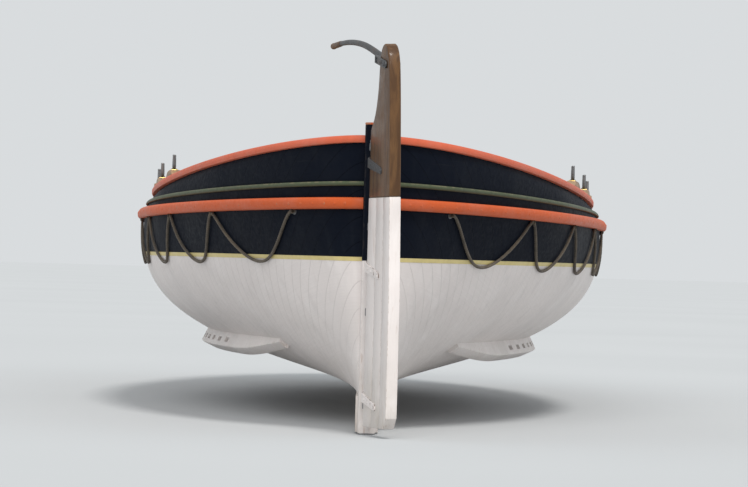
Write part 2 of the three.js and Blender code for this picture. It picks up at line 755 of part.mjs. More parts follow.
const RAKE = Math.atan(STERN_RAKE);
const ROD_OFF_POST = 45;
const ROD_X = -endX(-1, 0) - TOUCH - POST_DEPTH - ROD_OFF_POST / Math.cos(RAKE);
const ROD = { radius: 18, low: -660, high: 1130 };
const EYES = [-615, 0, 560, 1080];
const EYE = { radius: 30, half: 25, lugHalf: 22 };
const GUDGEON = { radius: 33, hole: 20, half: 32, strap: 300, strapThick: 7, onBlade: 300, onHead: 980 };
const HELM_AT_REST = THREE.MathUtils.degToRad(15); // tiller to port
const RUDDER_HALF_THICK = 37;
const RUDDER_EDGE = -40; // leading edge, aft of the rod
const HEAD_EDGE = -215; // leading edge of the head beside the tiller, above the rod
const RUDDER_PAINT_LINE = 735;

// The place in the rod's frame of a point of the centre plane at height z, x aft of the rod
const onRudder = (x, z) => [x, (z - x * Math.sin(RAKE)) / Math.cos(RAKE)];

// A ring on the rod, with a strap on each side of the rudder
function gudgeon(along) {
  const { radius, half, strap, strapThick } = GUDGEON;
  const thick = RUDDER_HALF_THICK + strapThick;
  return union([
    bar([0, 0, along - half], [0, 0, along + half], radius),
    box([RUDDER_EDGE - strap, -radius / 2], [-thick, thick], [along - half, along + half]),
  ]);
}

function rudder() {
  const thick = [-RUDDER_HALF_THICK, RUDDER_HALF_THICK];
  const blade = upright(
    [
      onRudder(RUDDER_EDGE, -740),
      onRudder(-540, -740),
      onRudder(-592, -700),
      onRudder(-600, -640),
      onRudder(-590, 100),
      onRudder(-545, RUDDER_PAINT_LINE - TOUCH),
      onRudder(RUDDER_EDGE, RUDDER_PAINT_LINE - TOUCH),
    ],
    ...thick,
  );
  const head = upright(
    [
      onRudder(RUDDER_EDGE, RUDDER_PAINT_LINE),
      onRudder(-545, RUDDER_PAINT_LINE),
      onRudder(-505, 1200),
      onRudder(-470, 1480),
      onRudder(-440, 1600),
      onRudder(-390, 1672),
      onRudder(-330, 1700),
      onRudder(-278, 1688),
      onRudder(HEAD_EDGE - 18, 1640),
      onRudder(HEAD_EDGE, 1550),
      onRudder(-192, 1400),
      onRudder(-135, 1262),
      onRudder(RUDDER_EDGE, 1170),
    ],
    ...thick,
  );
  const rodHole = bar([0, 0, -1200], [0, 0, 1300], GUDGEON.hole);
  const lowest = EYES[0] + EYE.half + 0.5 + GUDGEON.half;
  const hung = (shape, ...heights) => union([shape, ...heights.map(gudgeon)]).subtract(rodHole);
  return [
    node("rudder_blade", hung(blade, lowest, GUDGEON.onBlade), "white_paint"),
    node("rudder_head", hung(head, GUDGEON.onHead), "varnish"),
    tiller(),
  ];
}

const TILLER_POINTS = [
  // x forward of the rod, height z
  [-212, 1600],
  [-60, 1644],
  [150, 1692],
  [330, 1725],
  [520, 1747],
  [720, 1759],
  [920, 1760],
  [1120, 1752],
];

const TILLER = { rootHalf: 25, tipHalf: 15, halfWide: 18, cheek: 12, cheekAft: 190, yokeFore: 75 };

function tiller() {
  const { rootHalf, tipHalf, halfWide, cheek, cheekAft, yokeFore } = TILLER;
  const half = (i) => mix(rootHalf, tipHalf, i / (TILLER_POINTS.length - 1));
  const points = TILLER_POINTS.map(([x, z]) => onRudder(x, z));
  const over = points.map(([x, along], i) => [x, along + half(i)]);
  const under = points.map(([x, along], i) => [x, along - half(i)]).reverse();
  const [rootX, rootAlong] = points[0];
  const fore = rootX + yokeFore;
  const inner = RUDDER_HALF_THICK + TOUCH;
  const outer = inner + cheek;
  const height = [rootAlong - rootHalf, rootAlong + rootHalf];
  return node(
    "tiller",
    union([
      upright([...over, ...under], -halfWide, halfWide),
      box([rootX - cheekAft, fore], [inner, outer], height),
      box([rootX - cheekAft, fore], [-outer, -inner], height),
      box([rootX, fore], [-outer, outer], height),
    ]),
    "iron",
  );
}

function rudderRod() {
  const eyes = EYES.flatMap((along) => [
    bar([0, 0, along - EYE.half], [0, 0, along + EYE.half], EYE.radius),
    box([0, ROD_OFF_POST - TOUCH], [-EYE.lugHalf, EYE.lugHalf], [along - EYE.half, along + EYE.half]),
  ]);
  const rod = bar([0, 0, ROD.low], [0, 0, ROD.high], ROD.radius);
  return node("rudder_rod", union([rod, ...eyes]), "iron");
}

const boat = new THREE.Group();
boat.add(...hull(), ...backbone(), ...strakes());
boat.add(deck(), ...END_CASES.map(endCase), ...pair("side_case", sideCase(), "grey_paint"));
boat.add(...THWARTS.map((x, i) => thwart(x, i + 1)));
boat.add(...DROP_KEELS.map(centreCase), ...DROP_KEELS.map(dropKeel));
boat.add(foremast(), tabernacle(), mastCrutch(), ...STOWED.map(stowed), ...oars());
boat.add(...BITTS.map(bitt), compassLocker());
boat.add(...lifeline());

const sternFrame = new THREE.Group();
sternFrame.position.x = ROD_X;
sternFrame.rotation.y = -RAKE;
const helm = new THREE.Group();
helm.rotation.z = HELM_AT_REST;
helm.add(...rudder());
sternFrame.add(rudderRod(), helm);
boat.add(sternFrame);

export default boat;
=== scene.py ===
"""Looks of a pulling and sailing lifeboat, in metres: +X to the bow, +Y to port, the waterline at Z = 0."""
import math
import random
from itertools import pairwise

import bmesh
import bpy
from mathutils import Matrix, Vector, noise


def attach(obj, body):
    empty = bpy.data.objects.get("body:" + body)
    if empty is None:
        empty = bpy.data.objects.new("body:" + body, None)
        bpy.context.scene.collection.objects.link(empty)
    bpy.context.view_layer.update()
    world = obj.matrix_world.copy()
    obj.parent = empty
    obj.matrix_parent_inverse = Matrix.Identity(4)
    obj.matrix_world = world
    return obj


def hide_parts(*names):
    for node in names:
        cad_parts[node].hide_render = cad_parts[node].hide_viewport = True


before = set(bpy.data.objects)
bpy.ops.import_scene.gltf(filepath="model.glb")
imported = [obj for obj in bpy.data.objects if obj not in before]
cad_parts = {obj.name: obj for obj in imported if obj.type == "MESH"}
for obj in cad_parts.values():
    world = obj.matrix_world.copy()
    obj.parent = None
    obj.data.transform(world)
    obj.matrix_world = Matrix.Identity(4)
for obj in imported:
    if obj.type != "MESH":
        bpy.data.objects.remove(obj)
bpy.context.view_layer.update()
random.seed(43)

# Driving dimensions, as in the part's source

HALF_LENGTH = 6.55
HALF_BEAM = 1.79
KEEL_BOTTOM = -0.79
RABBET = -0.55
PAINT_LINE = 0.33
DECK_UNDER = 0.15
DECK_TOP = 0.18
SHEER_MID = 0.78
SHEER_BOW = 1.23
SHEER_STERN = 1.09
STERN_RAKE = 0.19
STEM_RAKE = 0.08
FOREFOOT = 0.9
FULLNESS_BOW = 0.68
FULLNESS_STERN = 0.62
WIDEST = 0.86
TUMBLEHOME = 0.05
ROUNDNESS_MID = 3
ROUNDNESS_END = 1.4
FLATNESS_MID = 1.25
END_HALF_SIDING = 0.06
KEEL_HALF_SIDING = 0.075
WALL = 0.055
SPACE_END = 0.985  # the boat's inside ends at this station
HOLLOW_END = 0.995  # from this one on the planking fills it
WALE_HEIGHT = 0.646  # amidships
WALE_RISE = 0.055  # towards each end
WALE_HALF_HEIGHT = 0.038
MOULDING_OVER_WALE = 0.078
MOULDING_RISE = 0.05
MOULDING_HALF_HEIGHT = 0.015
CAP_THICK = 0.05
THWARTS = [2.5, 1.45, 0.4, -0.65, -1.7, -2.75]
THWART_TOP = 0.58
ROWLOCK_FROM_THWART = -0.42
DROP_KEEL_PIVOTS = {"fore": 2.65, "aft": -1.05}
SLOT_HALF = 0.018
MAST_PIVOT = Vector((3.15, 0, 0.72))
MAST_LENGTH = 7.3  # from the pivot to the head
MAST_RADII = (0.085, 0.050)
RAKE = math.atan(STERN_RAKE)
ROD_OFF_POST = 0.045
POST_DEPTH = 0.15
HELM_AT_REST = math.radians(15)

TOUCH = 0.0003  # the gap between pieces that lie against each other
CLEAR = 0.0005  # the gap under pieces that stand on others
ON_DECK = DECK_TOP + CLEAR
SEAT = THWART_TOP + CLEAR
LINED_WALL = 0.062  # from the outside of the hull to what ends at its lining
SIDES = {"port": 1, "starboard": -1}
AHEAD = Vector((1, 0, 0))
ACROSS = Vector((0, 1, 0))
UP = Vector((0, 0, 1))
TAU = 2 * math.pi


def mix(a, b, share):
    return a + (b - a) * share


def spread(a, b, steps):
    """Values at equal steps from a to b."""
    return [mix(a, b, k / steps) for k in range(steps + 1)]


def about(middle, half):
    """The span that reaches as far each way."""
    return middle - half, middle + half


def circle(count, shift=0.0):
    """The cosine and sine at equal steps of a turn."""
    turns = [TAU * (k + shift) / count for k in range(count)]
    return [(math.cos(t), math.sin(t)) for t in turns]


# The hull's form: u is the station, -1 at the stern and 1 at the bow

def sheer(x):
    end = SHEER_BOW if x > 0 else SHEER_STERN
    return SHEER_MID + (end - SHEER_MID) * (x / HALF_LENGTH) ** 2


def end_x(side, z):
    if side < 0:
        return HALF_LENGTH - (SHEER_STERN - z) * STERN_RAKE
    down = (SHEER_BOW - z) / (SHEER_BOW - RABBET)
    return HALF_LENGTH - STEM_RAKE * (SHEER_BOW - z) - FOREFOOT * max(down, 0) ** 4


def x_at(u, z):
    return u * end_x(1 if u >= 0 else -1, z)


def half_breadth(u, z):
    end = u * u
    fullness = FULLNESS_BOW if u > 0 else FULLNESS_STERN
    greatest = mix(END_HALF_SIDING, HALF_BEAM, (1 - end) ** fullness)
    height = (z - RABBET) / (sheer(u * HALF_LENGTH) - RABBET)
    widest = mix(WIDEST, 1, end)
    if height > widest:
        fall = ((height - widest) / (1 - widest + 1e-9)) ** 2
        return greatest * (1 - TUMBLEHOME * (1 - end) * fall)
    below = 1 - max(height, 0) / widest
    roundness = mix(ROUNDNESS_MID, ROUNDNESS_END, end)
    share = (1 - below**roundness) ** (1 / mix(FLATNESS_MID, 1, end))
    flare = (KEEL_HALF_SIDING - END_HALF_SIDING) * below * (1 - end)
    return mix(END_HALF_SIDING, greatest, share) + flare


def plan_normal(u, z):
    if abs(u) == 1:
        return u, 0.0
    step = 0.002
    dx = x_at(u + step, z) - x_at(u - step, z)
    dy = half_breadth(min(u + step, 1), z) - half_breadth(max(u - step, -1), z)
    length = math.hypot(dx, dy)
    return -dy / length, dx / length


def on_side(u, z, out=0.0, least=0.0):
    """The point at station u and height z, out from the outside of the planking."""
    nx, ny = plan_normal(u, z)
    return Vector((x_at(u, z) + nx * out, max(half_breadth(u, z) + ny * out, least), z))


def station_of(x, z):
    return x / end_x(1 if x >= 0 else -1, z)


def inner_half(x, z, wall=WALL):
    u = station_of(x, z)
    if abs(u) >= HOLLOW_END:
        return 0.0
    return half_breadth(u, z) - wall / plan_normal(u, z)[1]


def wale_height(u):
    return WALE_HEIGHT + WALE_RISE * u * u


def moulding_height(u):
    return wale_height(u) + MOULDING_OVER_WALE + MOULDING_RISE * u * u


HULL_STATIONS = [math.sin(math.pi / 2 * share) for share in spread(-1, 1, 160)]

# Meshes. A Parts object gathers many closed bodies, each with its grain: (along, across, through)

WEAR_FROM = 55  # curvature per metre where paint starts to wear, and where it wears most
WEAR_FULL = 140
BEVEL_ANGLE = math.radians(30)  # edges that turn by more are rounded
FLAT_TURN = 0.05  # radians: an edge that turns by less has no wear
WELD = 2e-5  # points that are nearer to each other are one


def placed(name, data):
    """A new object in the scene."""
    made = bpy.data.objects.new(name, data)
    bpy.context.scene.collection.objects.link(made)
    return made


class Parts:
    def __init__(self):
        self.points = []
        self.faces = []
        self.grain = []

    def add(self, points, faces, grain=None, along=0, place=None):
        start = len(self.points)
        shift = Vector([random.uniform(0, 40) for _ in range(3)])
        if grain is None:
            order = [along] + [axis for axis in range(3) if axis != along]
            grain = [Vector([p[axis] for axis in order]) + shift for p in points]
        self.grain += [tuple(g) for g in grain]
        self.points += [tuple(place @ Vector(p)) if place else tuple(p) for p in points]
        self.faces += [tuple(start + i for i in face) for face in faces]
        return self

    def mirrored(self):
        """These bodies and their mirror images across the boat's centre plane."""
        start = len(self.points)
        self.points += [(x, -y, z) for x, y, z in self.points]
        self.faces += [tuple(start + i for i in reversed(face)) for face in self.faces]
        self.grain += self.grain
        return self


def edge_curve(edge):
    """How tightly the surface bends outwards over an edge, per metre."""
    if len(edge.link_faces) != 2:
        return 0.0
    turn = edge.calc_face_angle_signed(0.0)
    if turn < FLAT_TURN:
        return 0.0
    length = max(edge.calc_length(), 1e-6)
    widths = sum(face.calc_area() for face in edge.link_faces) / length
    return turn / max(widths / 2, 1e-5)


def piece(name, parts, look, replaces=(), body="hull", sharp=35, side=1):
    """One object of the boat made from gathered bodies: side -1 makes its mirror image."""
    mesh = bpy.data.meshes.new(name)
    mesh.from_pydata([(x, side * y, z) for x, y, z in parts.points], [], parts.faces)
    work = bmesh.new()
    work.from_mesh(mesh)
    bmesh.ops.recalc_face_normals(work, faces=work.faces)
    curves = {edge: edge_curve(edge) for edge in work.edges}
    bends = [max((curves[edge] for edge in vert.link_edges), default=0.0) for vert in work.verts]
    work.to_mesh(mesh)
    work.free()
    grain = mesh.attributes.new("grain", "FLOAT_VECTOR", "POINT")
    grain.data.foreach_set("vector", [value for g in parts.grain for value in g])
    worn = mesh.attributes.new("worn", "FLOAT", "POINT")
    wear = [min(max((bend - WEAR_FROM) / (WEAR_FULL - WEAR_FROM), 0), 1) for bend in bends]
    worn.data.foreach_set("value", wear)
    mesh.polygons.foreach_set("use_smooth", [True] * len(mesh.polygons))
    mesh.set_sharp_from_angle(angle=math.radians(sharp))
    material, slot = look
    mesh.materials.append(material)
    made = placed(name, mesh)
    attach(made, body)
    if replaces:
        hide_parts(*replaces)
    return made


def skin(loops, closed=False):
    """A body through loops of as many points each: closed when the last leads back to the first."""
    count = len(loops[0])
    points = [p for loop in loops for p in loop]
    faces = []
    for i in range(len(loops) if closed else len(loops) - 1):
        for k in range(count):
            a, b = i * count + k, i * count + (k + 1) % count
            faces.append((a, b, (b + count) % len(points), (a + count) % len(points)))
    if not closed:
        faces.append(tuple(range(count))[::-1])
        faces.append(tuple(range(len(points) - count, len(points))))
    return points, faces


def both_sides(half):
    """A loop that goes on through the mirror images of its points across the centre plane."""
    return [*half, *((x, -y, z) for x, y, z in reversed(half))]


def mirror(half):
    """The other half of a symmetrical outline."""
    return [(-x, z) for x, z in reversed(half)]


def run_of(points):
    """How far along its line each point lies."""
    total = [0.0]
    for a, b in pairwise(points):
        total.append(total[-1] + (Vector(b) - Vector(a)).length)
    return total


def tube(line, radius, sides=12, flat=1.0, up=UP, closed=False):
    """A tube along a line: radius and flat, its height over its width, may depend on the share along it."""
    count = len(line)
    size = radius if callable(radius) else lambda share: radius
    shape = flat if callable(flat) else lambda share: flat
    loops = []
    for i, here in enumerate(line):
        before, after = (i - 1, (i + 1) % count) if closed else (max(i - 1, 0), min(i + 1, count - 1))
        along = (line[after] - line[before]).normalized()
        side = along.cross(up)
        if side.length < 1e-3:
            side = along.cross(ACROSS)
        side.normalize()
        over = side.cross(along)
        share = i / max(count - 1, 1)
        wide, high = size(share), size(share) * shape(share)
        loops.append([here + side * wide * c + over * high * s for c, s in circle(sides)])
    return skin(loops, closed)


def turned(stops, start, along=UP, sides=24):
    """A turned body: stops lists (distance along the axis, radius)."""
    along = Vector(along).normalized()
    side = along.orthogonal().normalized()
    over = along.cross(side)
    loops = []
    for distance, radius in stops:
        middle = Vector(start) + along * distance
        loops.append([middle + side * radius * c + over * radius * s for c, s in circle(sides)])
    return skin(loops)


def oval(x, y, z, wide, high, sides, shift=0.5, power=2.0):
    """A loop round an axis along the boat: a power over 2 squares it."""
    loop = []
    for c, s in circle(sides, shift):
        grow = (abs(c) ** power + abs(s) ** power) ** (-1 / power)
        loop.append((x, y + wide * grow * c, z + high * grow * s))
    return loop


def rounded(work, width, segments, **how):
    """The points and faces of a mesh whose sharp edges are rounded."""
    edges = [e for e in work.edges if len(e.link_faces) == 2 and e.calc_face_angle() > BEVEL_ANGLE]
    bmesh.ops.bevel(work, geom=edges, offset=width, segments=segments, profile=0.5, affect="EDGES", **how)
    work.verts.ensure_lookup_table()
    out = [v.co.copy() for v in work.verts], [tuple(v.index for v in f.verts) for f in work.faces]
    work.free()
    return out


def copied(node, width, segments=2, dissolve=2.0):
    """A CAD node's body with its flat faces joined and its edges rounded."""
    work = bmesh.new()
    work.from_mesh(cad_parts[node].data)
    bmesh.ops.remove_doubles(work, verts=work.verts, dist=WELD)
    bmesh.ops.dissolve_limit(work, angle_limit=math.radians(dissolve), verts=work.verts, edges=work.edges)
    return rounded(work, width, segments, clamp_overlap=True)


def plate(outline, y0, y1, width=0.004, segments=2):
    """An outline in the X-Z plane with a thickness across the boat, with rounded edges."""
    points, faces = skin([[(x, y, z) for x, z in outline] for y in (y0, y1)])
    work = bmesh.new()
    made = [work.verts.new(p) for p in points]
    for face in faces:
        work.faces.new([made[i] for i in face])
    bmesh.ops.recalc_face_normals(work, faces=work.faces)
    return rounded(work, width, segments)


def cross_plate(outline, x0, x1, width=0.003):
    """An outline in the Y-Z plane with a thickness along the boat, with rounded edges."""
    points, faces = plate(outline, x0, x1, width)
    return [(p.y, p.x, p.z) for p in points], faces


def block(x, y, z, width=0.004, segments=2):
    """A box between two values on each axis, with rounded edges."""
    return plate([(x[0], z[0]), (x[1], z[0]), (x[1], z[1]), (x[0], z[1])], *y, width, segments)


def arc(centre, radius, start, stop, steps):
    """Points of an arc in a plane, its angles in degrees."""
    turns = [math.radians(angle) for angle in spread(start, stop, steps)]
    return [(centre[0] + radius * math.cos(t), centre[1] + radius * math.sin(t)) for t in turns]


DOME = [(0, 1), (0.55, 0.86), (0.9, 0.5), (1, 0.1)]  # shares of its height and of its radius


def dome(at, normal, radius, height):
    """A bolt's or rivet's head."""
    return turned([(height * up, radius * out) for up, out in DOME], at, normal, sides=10)


def smooth(stops, steps):
    """A list of points made finer by a curve that passes through them."""
    line = [stops[0], *stops, stops[-1]]
    out = []
    for around in zip(line, line[1:], line[2:], line[3:]):
        for k in range(steps):
            t = k / steps
            weights = (-t + 2 * t**2 - t**3, 2 - 5 * t**2 + 3 * t**3, t + 4 * t**2 - 3 * t**3, t**3 - t**2)
            out.append(tuple(sum(w * v for w, v in zip(weights, values)) / 2 for values in zip(*around)))
    return [*out, tuple(stops[-1])]


def board_section(x, a, b, low, top, edge):
    """A board's section at x, from a to b across the boat, with its upper edges taken off."""
    c = max(b - edge, a + edge)
    return [(x, a, low), (x, a, top - edge), (x, a + edge, top), (x, c, top), (x, b, top - edge), (x, b, low)]


# Materials. Each look is a pair: the material and a slot name, which piece() does not use

class Finish:
    """Builds one look: its sockets are made by short calls and end in one Principled shader."""

    def __init__(self, name, slot=None):
        self.slot = slot
        self.material = bpy.data.materials.new(name)
        self.material.use_nodes = True
        self.tree = self.material.node_tree
        self.tree.nodes.clear()
        self.shader = self.new("ShaderNodeBsdfPrincipled")
        output = self.new("ShaderNodeOutputMaterial")
        self.tree.links.new(self.shader.outputs[0], output.inputs[0])
        self.grain = self.new("ShaderNodeAttribute", attribute_name="grain").outputs["Vector"]
        self.place = self.new("ShaderNodeTexCoord").outputs["Object"]

    def new(self, kind, **settings):
        made = self.tree.nodes.new(kind)
        for name, value in settings.items():
            setattr(made, name, value)
        return made

    def put(self, value, socket):
        if isinstance(value, bpy.types.NodeSocket):
            self.tree.links.new(value, socket)
        else:
            socket.default_value = value

    def fill(self, made, **values):
        """Puts values into a node's named inputs."""
        for name, value in values.items():
            self.put(value, made.inputs[name.replace("_", " ")])
        return made

    def noise(self, vector, scale, detail=4, roughness=0.55, distortion=0.0):
        """Noise: a scale of three numbers stretches it."""
        if isinstance(scale, tuple):
            vector, scale = self.scaled(vector, scale), 1.0
        made = self.fill(self.new("ShaderNodeTexNoise"), Vector=vector, Scale=scale, Detail=detail,
                         Roughness=roughness, Distortion=distortion)
        return made.outputs["Fac"]

    def scaled(self, vector, scale):
        made = self.new("ShaderNodeVectorMath", operation="MULTIPLY")
        self.put(vector, made.inputs[0])
        made.inputs[1].default_value = scale
        return made.outputs[0]

    def math(self, operation, a, b=0.0, clamp=False):
        made = self.new("ShaderNodeMath", operation=operation, use_clamp=clamp)
        self.put(a, made.inputs[0])
        self.put(b, made.inputs[1])
        return made.outputs[0]

    def times(self, a, b, clamp=False):
        return self.math("MULTIPLY", a, b, clamp)

    def plus(self, a, b):
        return self.math("ADD", a, b)

    def span(self, value, low, high, to_low=0.0, to_high=1.0):
        made = self.new("ShaderNodeMapRange")
        ends = {"From Min": low, "From Max": high, "To Min": to_low, "To Max": to_high}
        return self.fill(made, Value=value, **ends).outputs[0]

    def blend(self, share, a, b):
        made = self.new("ShaderNodeMix", data_type="RGBA")
        self.put(share, made.inputs[0])
        for value, socket in ((a, made.inputs[6]), (b, made.inputs[7])):
            self.put(value if isinstance(value, bpy.types.NodeSocket) else (*value, 1), socket)
        return made.outputs[2]

    def fade(self, a, b, value, low, high, most=1.0):
        """The colour a, which goes over to b by at most this share where a value goes from low to high."""
        return self.blend(self.span(value, low, high, 0.0, most), a, b)

    def split(self, vector):
        made = self.new("ShaderNodeSeparateXYZ")
        self.put(vector, made.inputs[0])
        return made.outputs

    def edges(self):
        """1 on outer edges, where paint and varnish wear through."""
        return self.new("ShaderNodeAttribute", attribute_name="worn").outputs["Fac"]

    def seams(self, run, width, line):
        """0 in thin lines that are one width apart, 1 between them."""
        share = self.math("FRACT", self.math("DIVIDE", run, width))
        off = self.math("ABSOLUTE", self.math("SUBTRACT", share, 0.5))
        return self.span(off, 0.5 - line / width, 0.5, 1.0, 0.0)

    def bump(self, height, distance, before=None):
        made = self.fill(self.new("ShaderNodeBump"), Distance=distance, Strength=1.0, Height=height)
        if before is not None:
            self.put(before, made.inputs["Normal"])
        return made.outputs[0]

    def done(self, color, roughness, normal=None, **others):
        self.fill(self.shader, Base_Color=color, Roughness=roughness, **others)
        if normal is not None:
            self.put(normal, self.shader.inputs["Normal"])
        return self.material, self.slot


def shade(color, factor):
    return tuple(min(channel * factor, 1) for channel in color)


def faded(color):
    """The colour as sun and salt leave it."""
    grey = sum(color) / 3
    return tuple(mix(channel, grey, 0.30) * 1.12 + 0.004 for channel in color)


BARE_WOOD = (0.30, 0.23, 0.15)
DARK_WOOD = (0.10, 0.08, 0.06)
BARE_IRON = (0.13, 0.09, 0.07)
DARK_DIRT = (0.016, 0.019, 0.024)
DARK_SCRATCH = (0.021, 0.023, 0.026)
WATER_STAIN = (0.30, 0.27, 0.205)
PAINT_RUST = (0.32, 0.17, 0.085)
RUST = (0.20, 0.085, 0.035)
WEATHERED = (0.42, 0.39, 0.34)
SEAM = 0.0036


def painted(
    name, slot, color, gloss=0.42, under=BARE_WOOD, dirt=0.5, wear=0.6, plank=None, diagonal=False, shine=0.4,
    stain=0.0, scuff=0.3, rust=0.0,
):
    """Oil paint on wood: brushed, faded in patches, streaked, scuffed, worn at its edges, with seams."""
    f = Finish(name, slot)
    pale = max(color) > 0.2
    broad = f.noise(f.place, 0.9, 3)
    brush = f.noise(f.grain, (3, 90, 90), 3)
    fine = f.noise(f.place, 38, 3)
    streaks = f.noise(f.place, (9, 9, 0.9), 4, 0.6)
    scratches = f.noise(f.grain, (2.2, 55, 55), 5, 0.7)
    c = f.fade(shade(color, 0.9), shade(color, 1.06), broad, 0.3, 0.7)
    c = f.fade(c, faded(color), f.noise(f.place, 3.7, 5, 0.62), 0.48, 0.72, 0.5)
    c = f.fade(c, shade(color, 0.84), brush, 0.35, 0.75, 0.30)
    c = f.fade(c, shade(color, 0.62) if pale else DARK_DIRT, streaks, 0.52, 0.78, dirt * 0.6)
    c = f.fade(c, shade(color, 0.7) if pale else DARK_SCRATCH, scratches, 0.60, 0.70, scuff)
    if stain:
        height = f.split(f.place)[2]
        soiled = f.times(f.span(height, -0.8, 0.1), f.span(height, -0.8, 0.1, 1.0, 0.0))
        low = f.plus(f.span(height, -0.80, -0.25, 1.0, 0.0), soiled)
        patchy = f.span(f.noise(f.place, 2.3, 6, 0.65), 0.34, 0.68, 0.1, 1.0)
        c = f.blend(f.times(f.times(low, patchy), stain, clamp=True), c, WATER_STAIN)
    if rust:
        c = f.fade(c, PAINT_RUST, f.noise(f.place, (34, 34, 1.6), 3, 0.6), 0.62, 0.76, rust)
    normal = f.bump(f.times(brush, 0.5), 0.0010)
    normal = f.bump(f.noise(f.place, 6, 2), 0.0025, normal)
    if plank:
        run, girth, _ = f.split(f.grain)
        if diagonal:
            girth = f.plus(f.plus(run, girth), f.times(f.noise(f.place, 1.3, 1), 0.05))
        seam = f.seams(girth, plank, SEAM)
        c = f.blend(f.math("SUBTRACT", 1.0, seam), c, shade(color, 0.84 if pale else 0.5))
        normal = f.bump(seam, 0.0018, normal)
    chips = f.times(f.edges(), f.span(f.noise(f.place, 26, 4, 0.65), 0.48, 0.6))
    c = f.blend(f.times(chips, wear, clamp=True), c, under)
    roughness = f.span(f.plus(broad, fine), 0.7, 1.3, gloss - 0.08, gloss + 0.16)
    return f.done(c, roughness, normal, Specular_IOR_Level=shine)


def timber(name, slot, color, dark, gloss, coat=0.0, ring_scale=9.0, worn=0.0, shine=0.5):
    """Wood with its grain along each piece."""
    f = Finish(name, slot)
    rings = f.noise(f.scaled(f.grain, (0.55, ring_scale, ring_scale)), 1.1, 3, 0.5, 0.6)
    rings = f.math("SINE", f.times(rings, 34.0))
    fibre = f.noise(f.grain, (7, 260, 260), 2)
    c = f.fade(color, dark, rings, -1, 1)
    c = f.fade(c, shade(dark, 0.7), fibre, 0.4, 0.8, 0.55)
    c = f.fade(c, shade(color, 1.2), f.noise(f.place, 1.4, 3), 0.35, 0.7, 0.35)
    rub = f.times(f.edges(), f.span(f.noise(f.place, 20, 4), 0.35, 0.65))
    if worn:
        c = f.fade(c, WEATHERED, f.noise(f.place, 3.1, 4), 0.42, 0.72, worn)
    c = f.blend(f.times(rub, 0.5), c, shade(color, 1.35))
    normal = f.bump(f.plus(f.times(rings, 0.12), fibre), 0.0012)
    roughness = f.span(f.noise(f.place, 11, 3), 0.3, 0.7, gloss - 0.06, gloss + 0.12)
    return f.done(c, roughness, normal, Coat_Weight=coat, Coat_Roughness=0.12, Specular_IOR_Level=shine)


def metal(name, slot, color, gloss, rust=0.4, metallic=0.75, scale=30):
    """Forged or rolled metal with spangle, scale and patches of rust."""
    f = Finish(name, slot)
    spangle = f.noise(f.place, scale, 5, 0.7)
    c = f.fade(shade(color, 0.7), shade(color, 1.25), spangle, 0.3, 0.7)
    c = f.fade(c, RUST, f.noise(f.place, 6.5, 5, 0.65), 0.52, 0.72, rust)
    c = f.blend(f.times(f.edges(), 0.5), c, shade(color, 1.8))
    roughness = f.span(spangle, 0.3, 0.7, gloss - 0.1, gloss + 0.15)
    return f.done(c, roughness, f.bump(spangle, 0.0015), Metallic=metallic)


def woven(name, slot, color, dark, threads=420):
    """Canvas: two sets of threads, creases and stains."""
    f = Finish(name, slot)
    along, across, _ = f.split(f.grain)
    weave = f.times(*(f.math("SINE", f.times(run, threads)) for run in (along, across)))
    c = f.fade(color, dark, f.noise(f.place, 2.6, 5, 0.6), 0.38, 0.68)
    c = f.fade(c, shade(dark, 0.6), weave, -1, 1, 0.22)
    normal = f.bump(f.noise(f.grain, (5, 26, 26), 4, 0.6), 0.012, f.bump(weave, 0.0006))
    return f.done(c, 0.88, normal, Sheen_Weight=0.15, Sheen_Roughness=0.5)


def laid_rope(name, slot, color, dark):
    """Hemp: the strands are in the mesh, their yarns are here."""
    f = Finish(name, slot)
    along, around, _ = f.split(f.grain)
    yarns = f.math("SINE", f.times(f.math("SUBTRACT", around, f.times(along, 9.0)), 60.0))
    c = f.fade(color, dark, f.noise(f.place, 14, 4, 0.6), 0.35, 0.7)
    c = f.fade(c, shade(dark, 0.55), yarns, -1, 1, 0.45)
    return f.done(c, 0.93, f.bump(yarns, 0.0012), Sheen_Weight=0.1)


WHITE_COLOR = (0.76, 0.70, 0.675)
BLUE_COLOR = (0.0045, 0.0065, 0.0125)

WHITE = painted("white_oil_paint", "white_paint", WHITE_COLOR, 0.44, dirt=0.45, plank=0.14, diagonal=True,
                stain=0.45, scuff=0.12)
WHITE_TRIM = painted("white_trim_paint", "white_paint", WHITE_COLOR, stain=0.55, scuff=0.35, rust=0.35)
WHITE_IRON = painted("white_painted_iron", "white_paint", WHITE_COLOR, under=BARE_IRON, wear=0.9, rust=0.5)
BLUE = painted("dark_blue_oil_paint", "blue_paint", BLUE_COLOR, 0.56, DARK_WOOD, plank=0.14, diagonal=True,
               shine=0.04)
BLUE_TRIM = painted("dark_blue_trim_paint", "blue_paint", BLUE_COLOR, 0.56, DARK_WOOD, shine=0.04)
RED = painted("orange_red_oil_paint", "red_paint", (0.56, 0.092, 0.018), 0.50, wear=0.9, shine=0.3, scuff=0.5)
SALMON = painted("salmon_red_oil_paint", "red_paint", (0.60, 0.118, 0.055), 0.50, wear=0.9, shine=0.3,
                 scuff=0.5)
STRAW = painted("straw_oil_paint", "moulding_paint", (0.66, 0.54, 0.22), 0.45, wear=0.3)
GREEN = painted("grey_green_oil_paint", "moulding_paint", (0.075, 0.092, 0.050), 0.52, shine=0.2)
GREY = painted("grey_oil_paint", "grey_paint", (0.40, 0.42, 0.40), 0.5, wear=0.9)
DECK_GREY = painted("deck_oil_paint", "grey_paint", (0.33, 0.34, 0.32), 0.58, dirt=0.9, wear=1.0, scuff=0.5)
LIGHT_GREY = painted("case_oil_paint", "grey_paint", (0.50, 0.51, 0.47), 0.5, wear=0.9, plank=0.11, scuff=0.4)
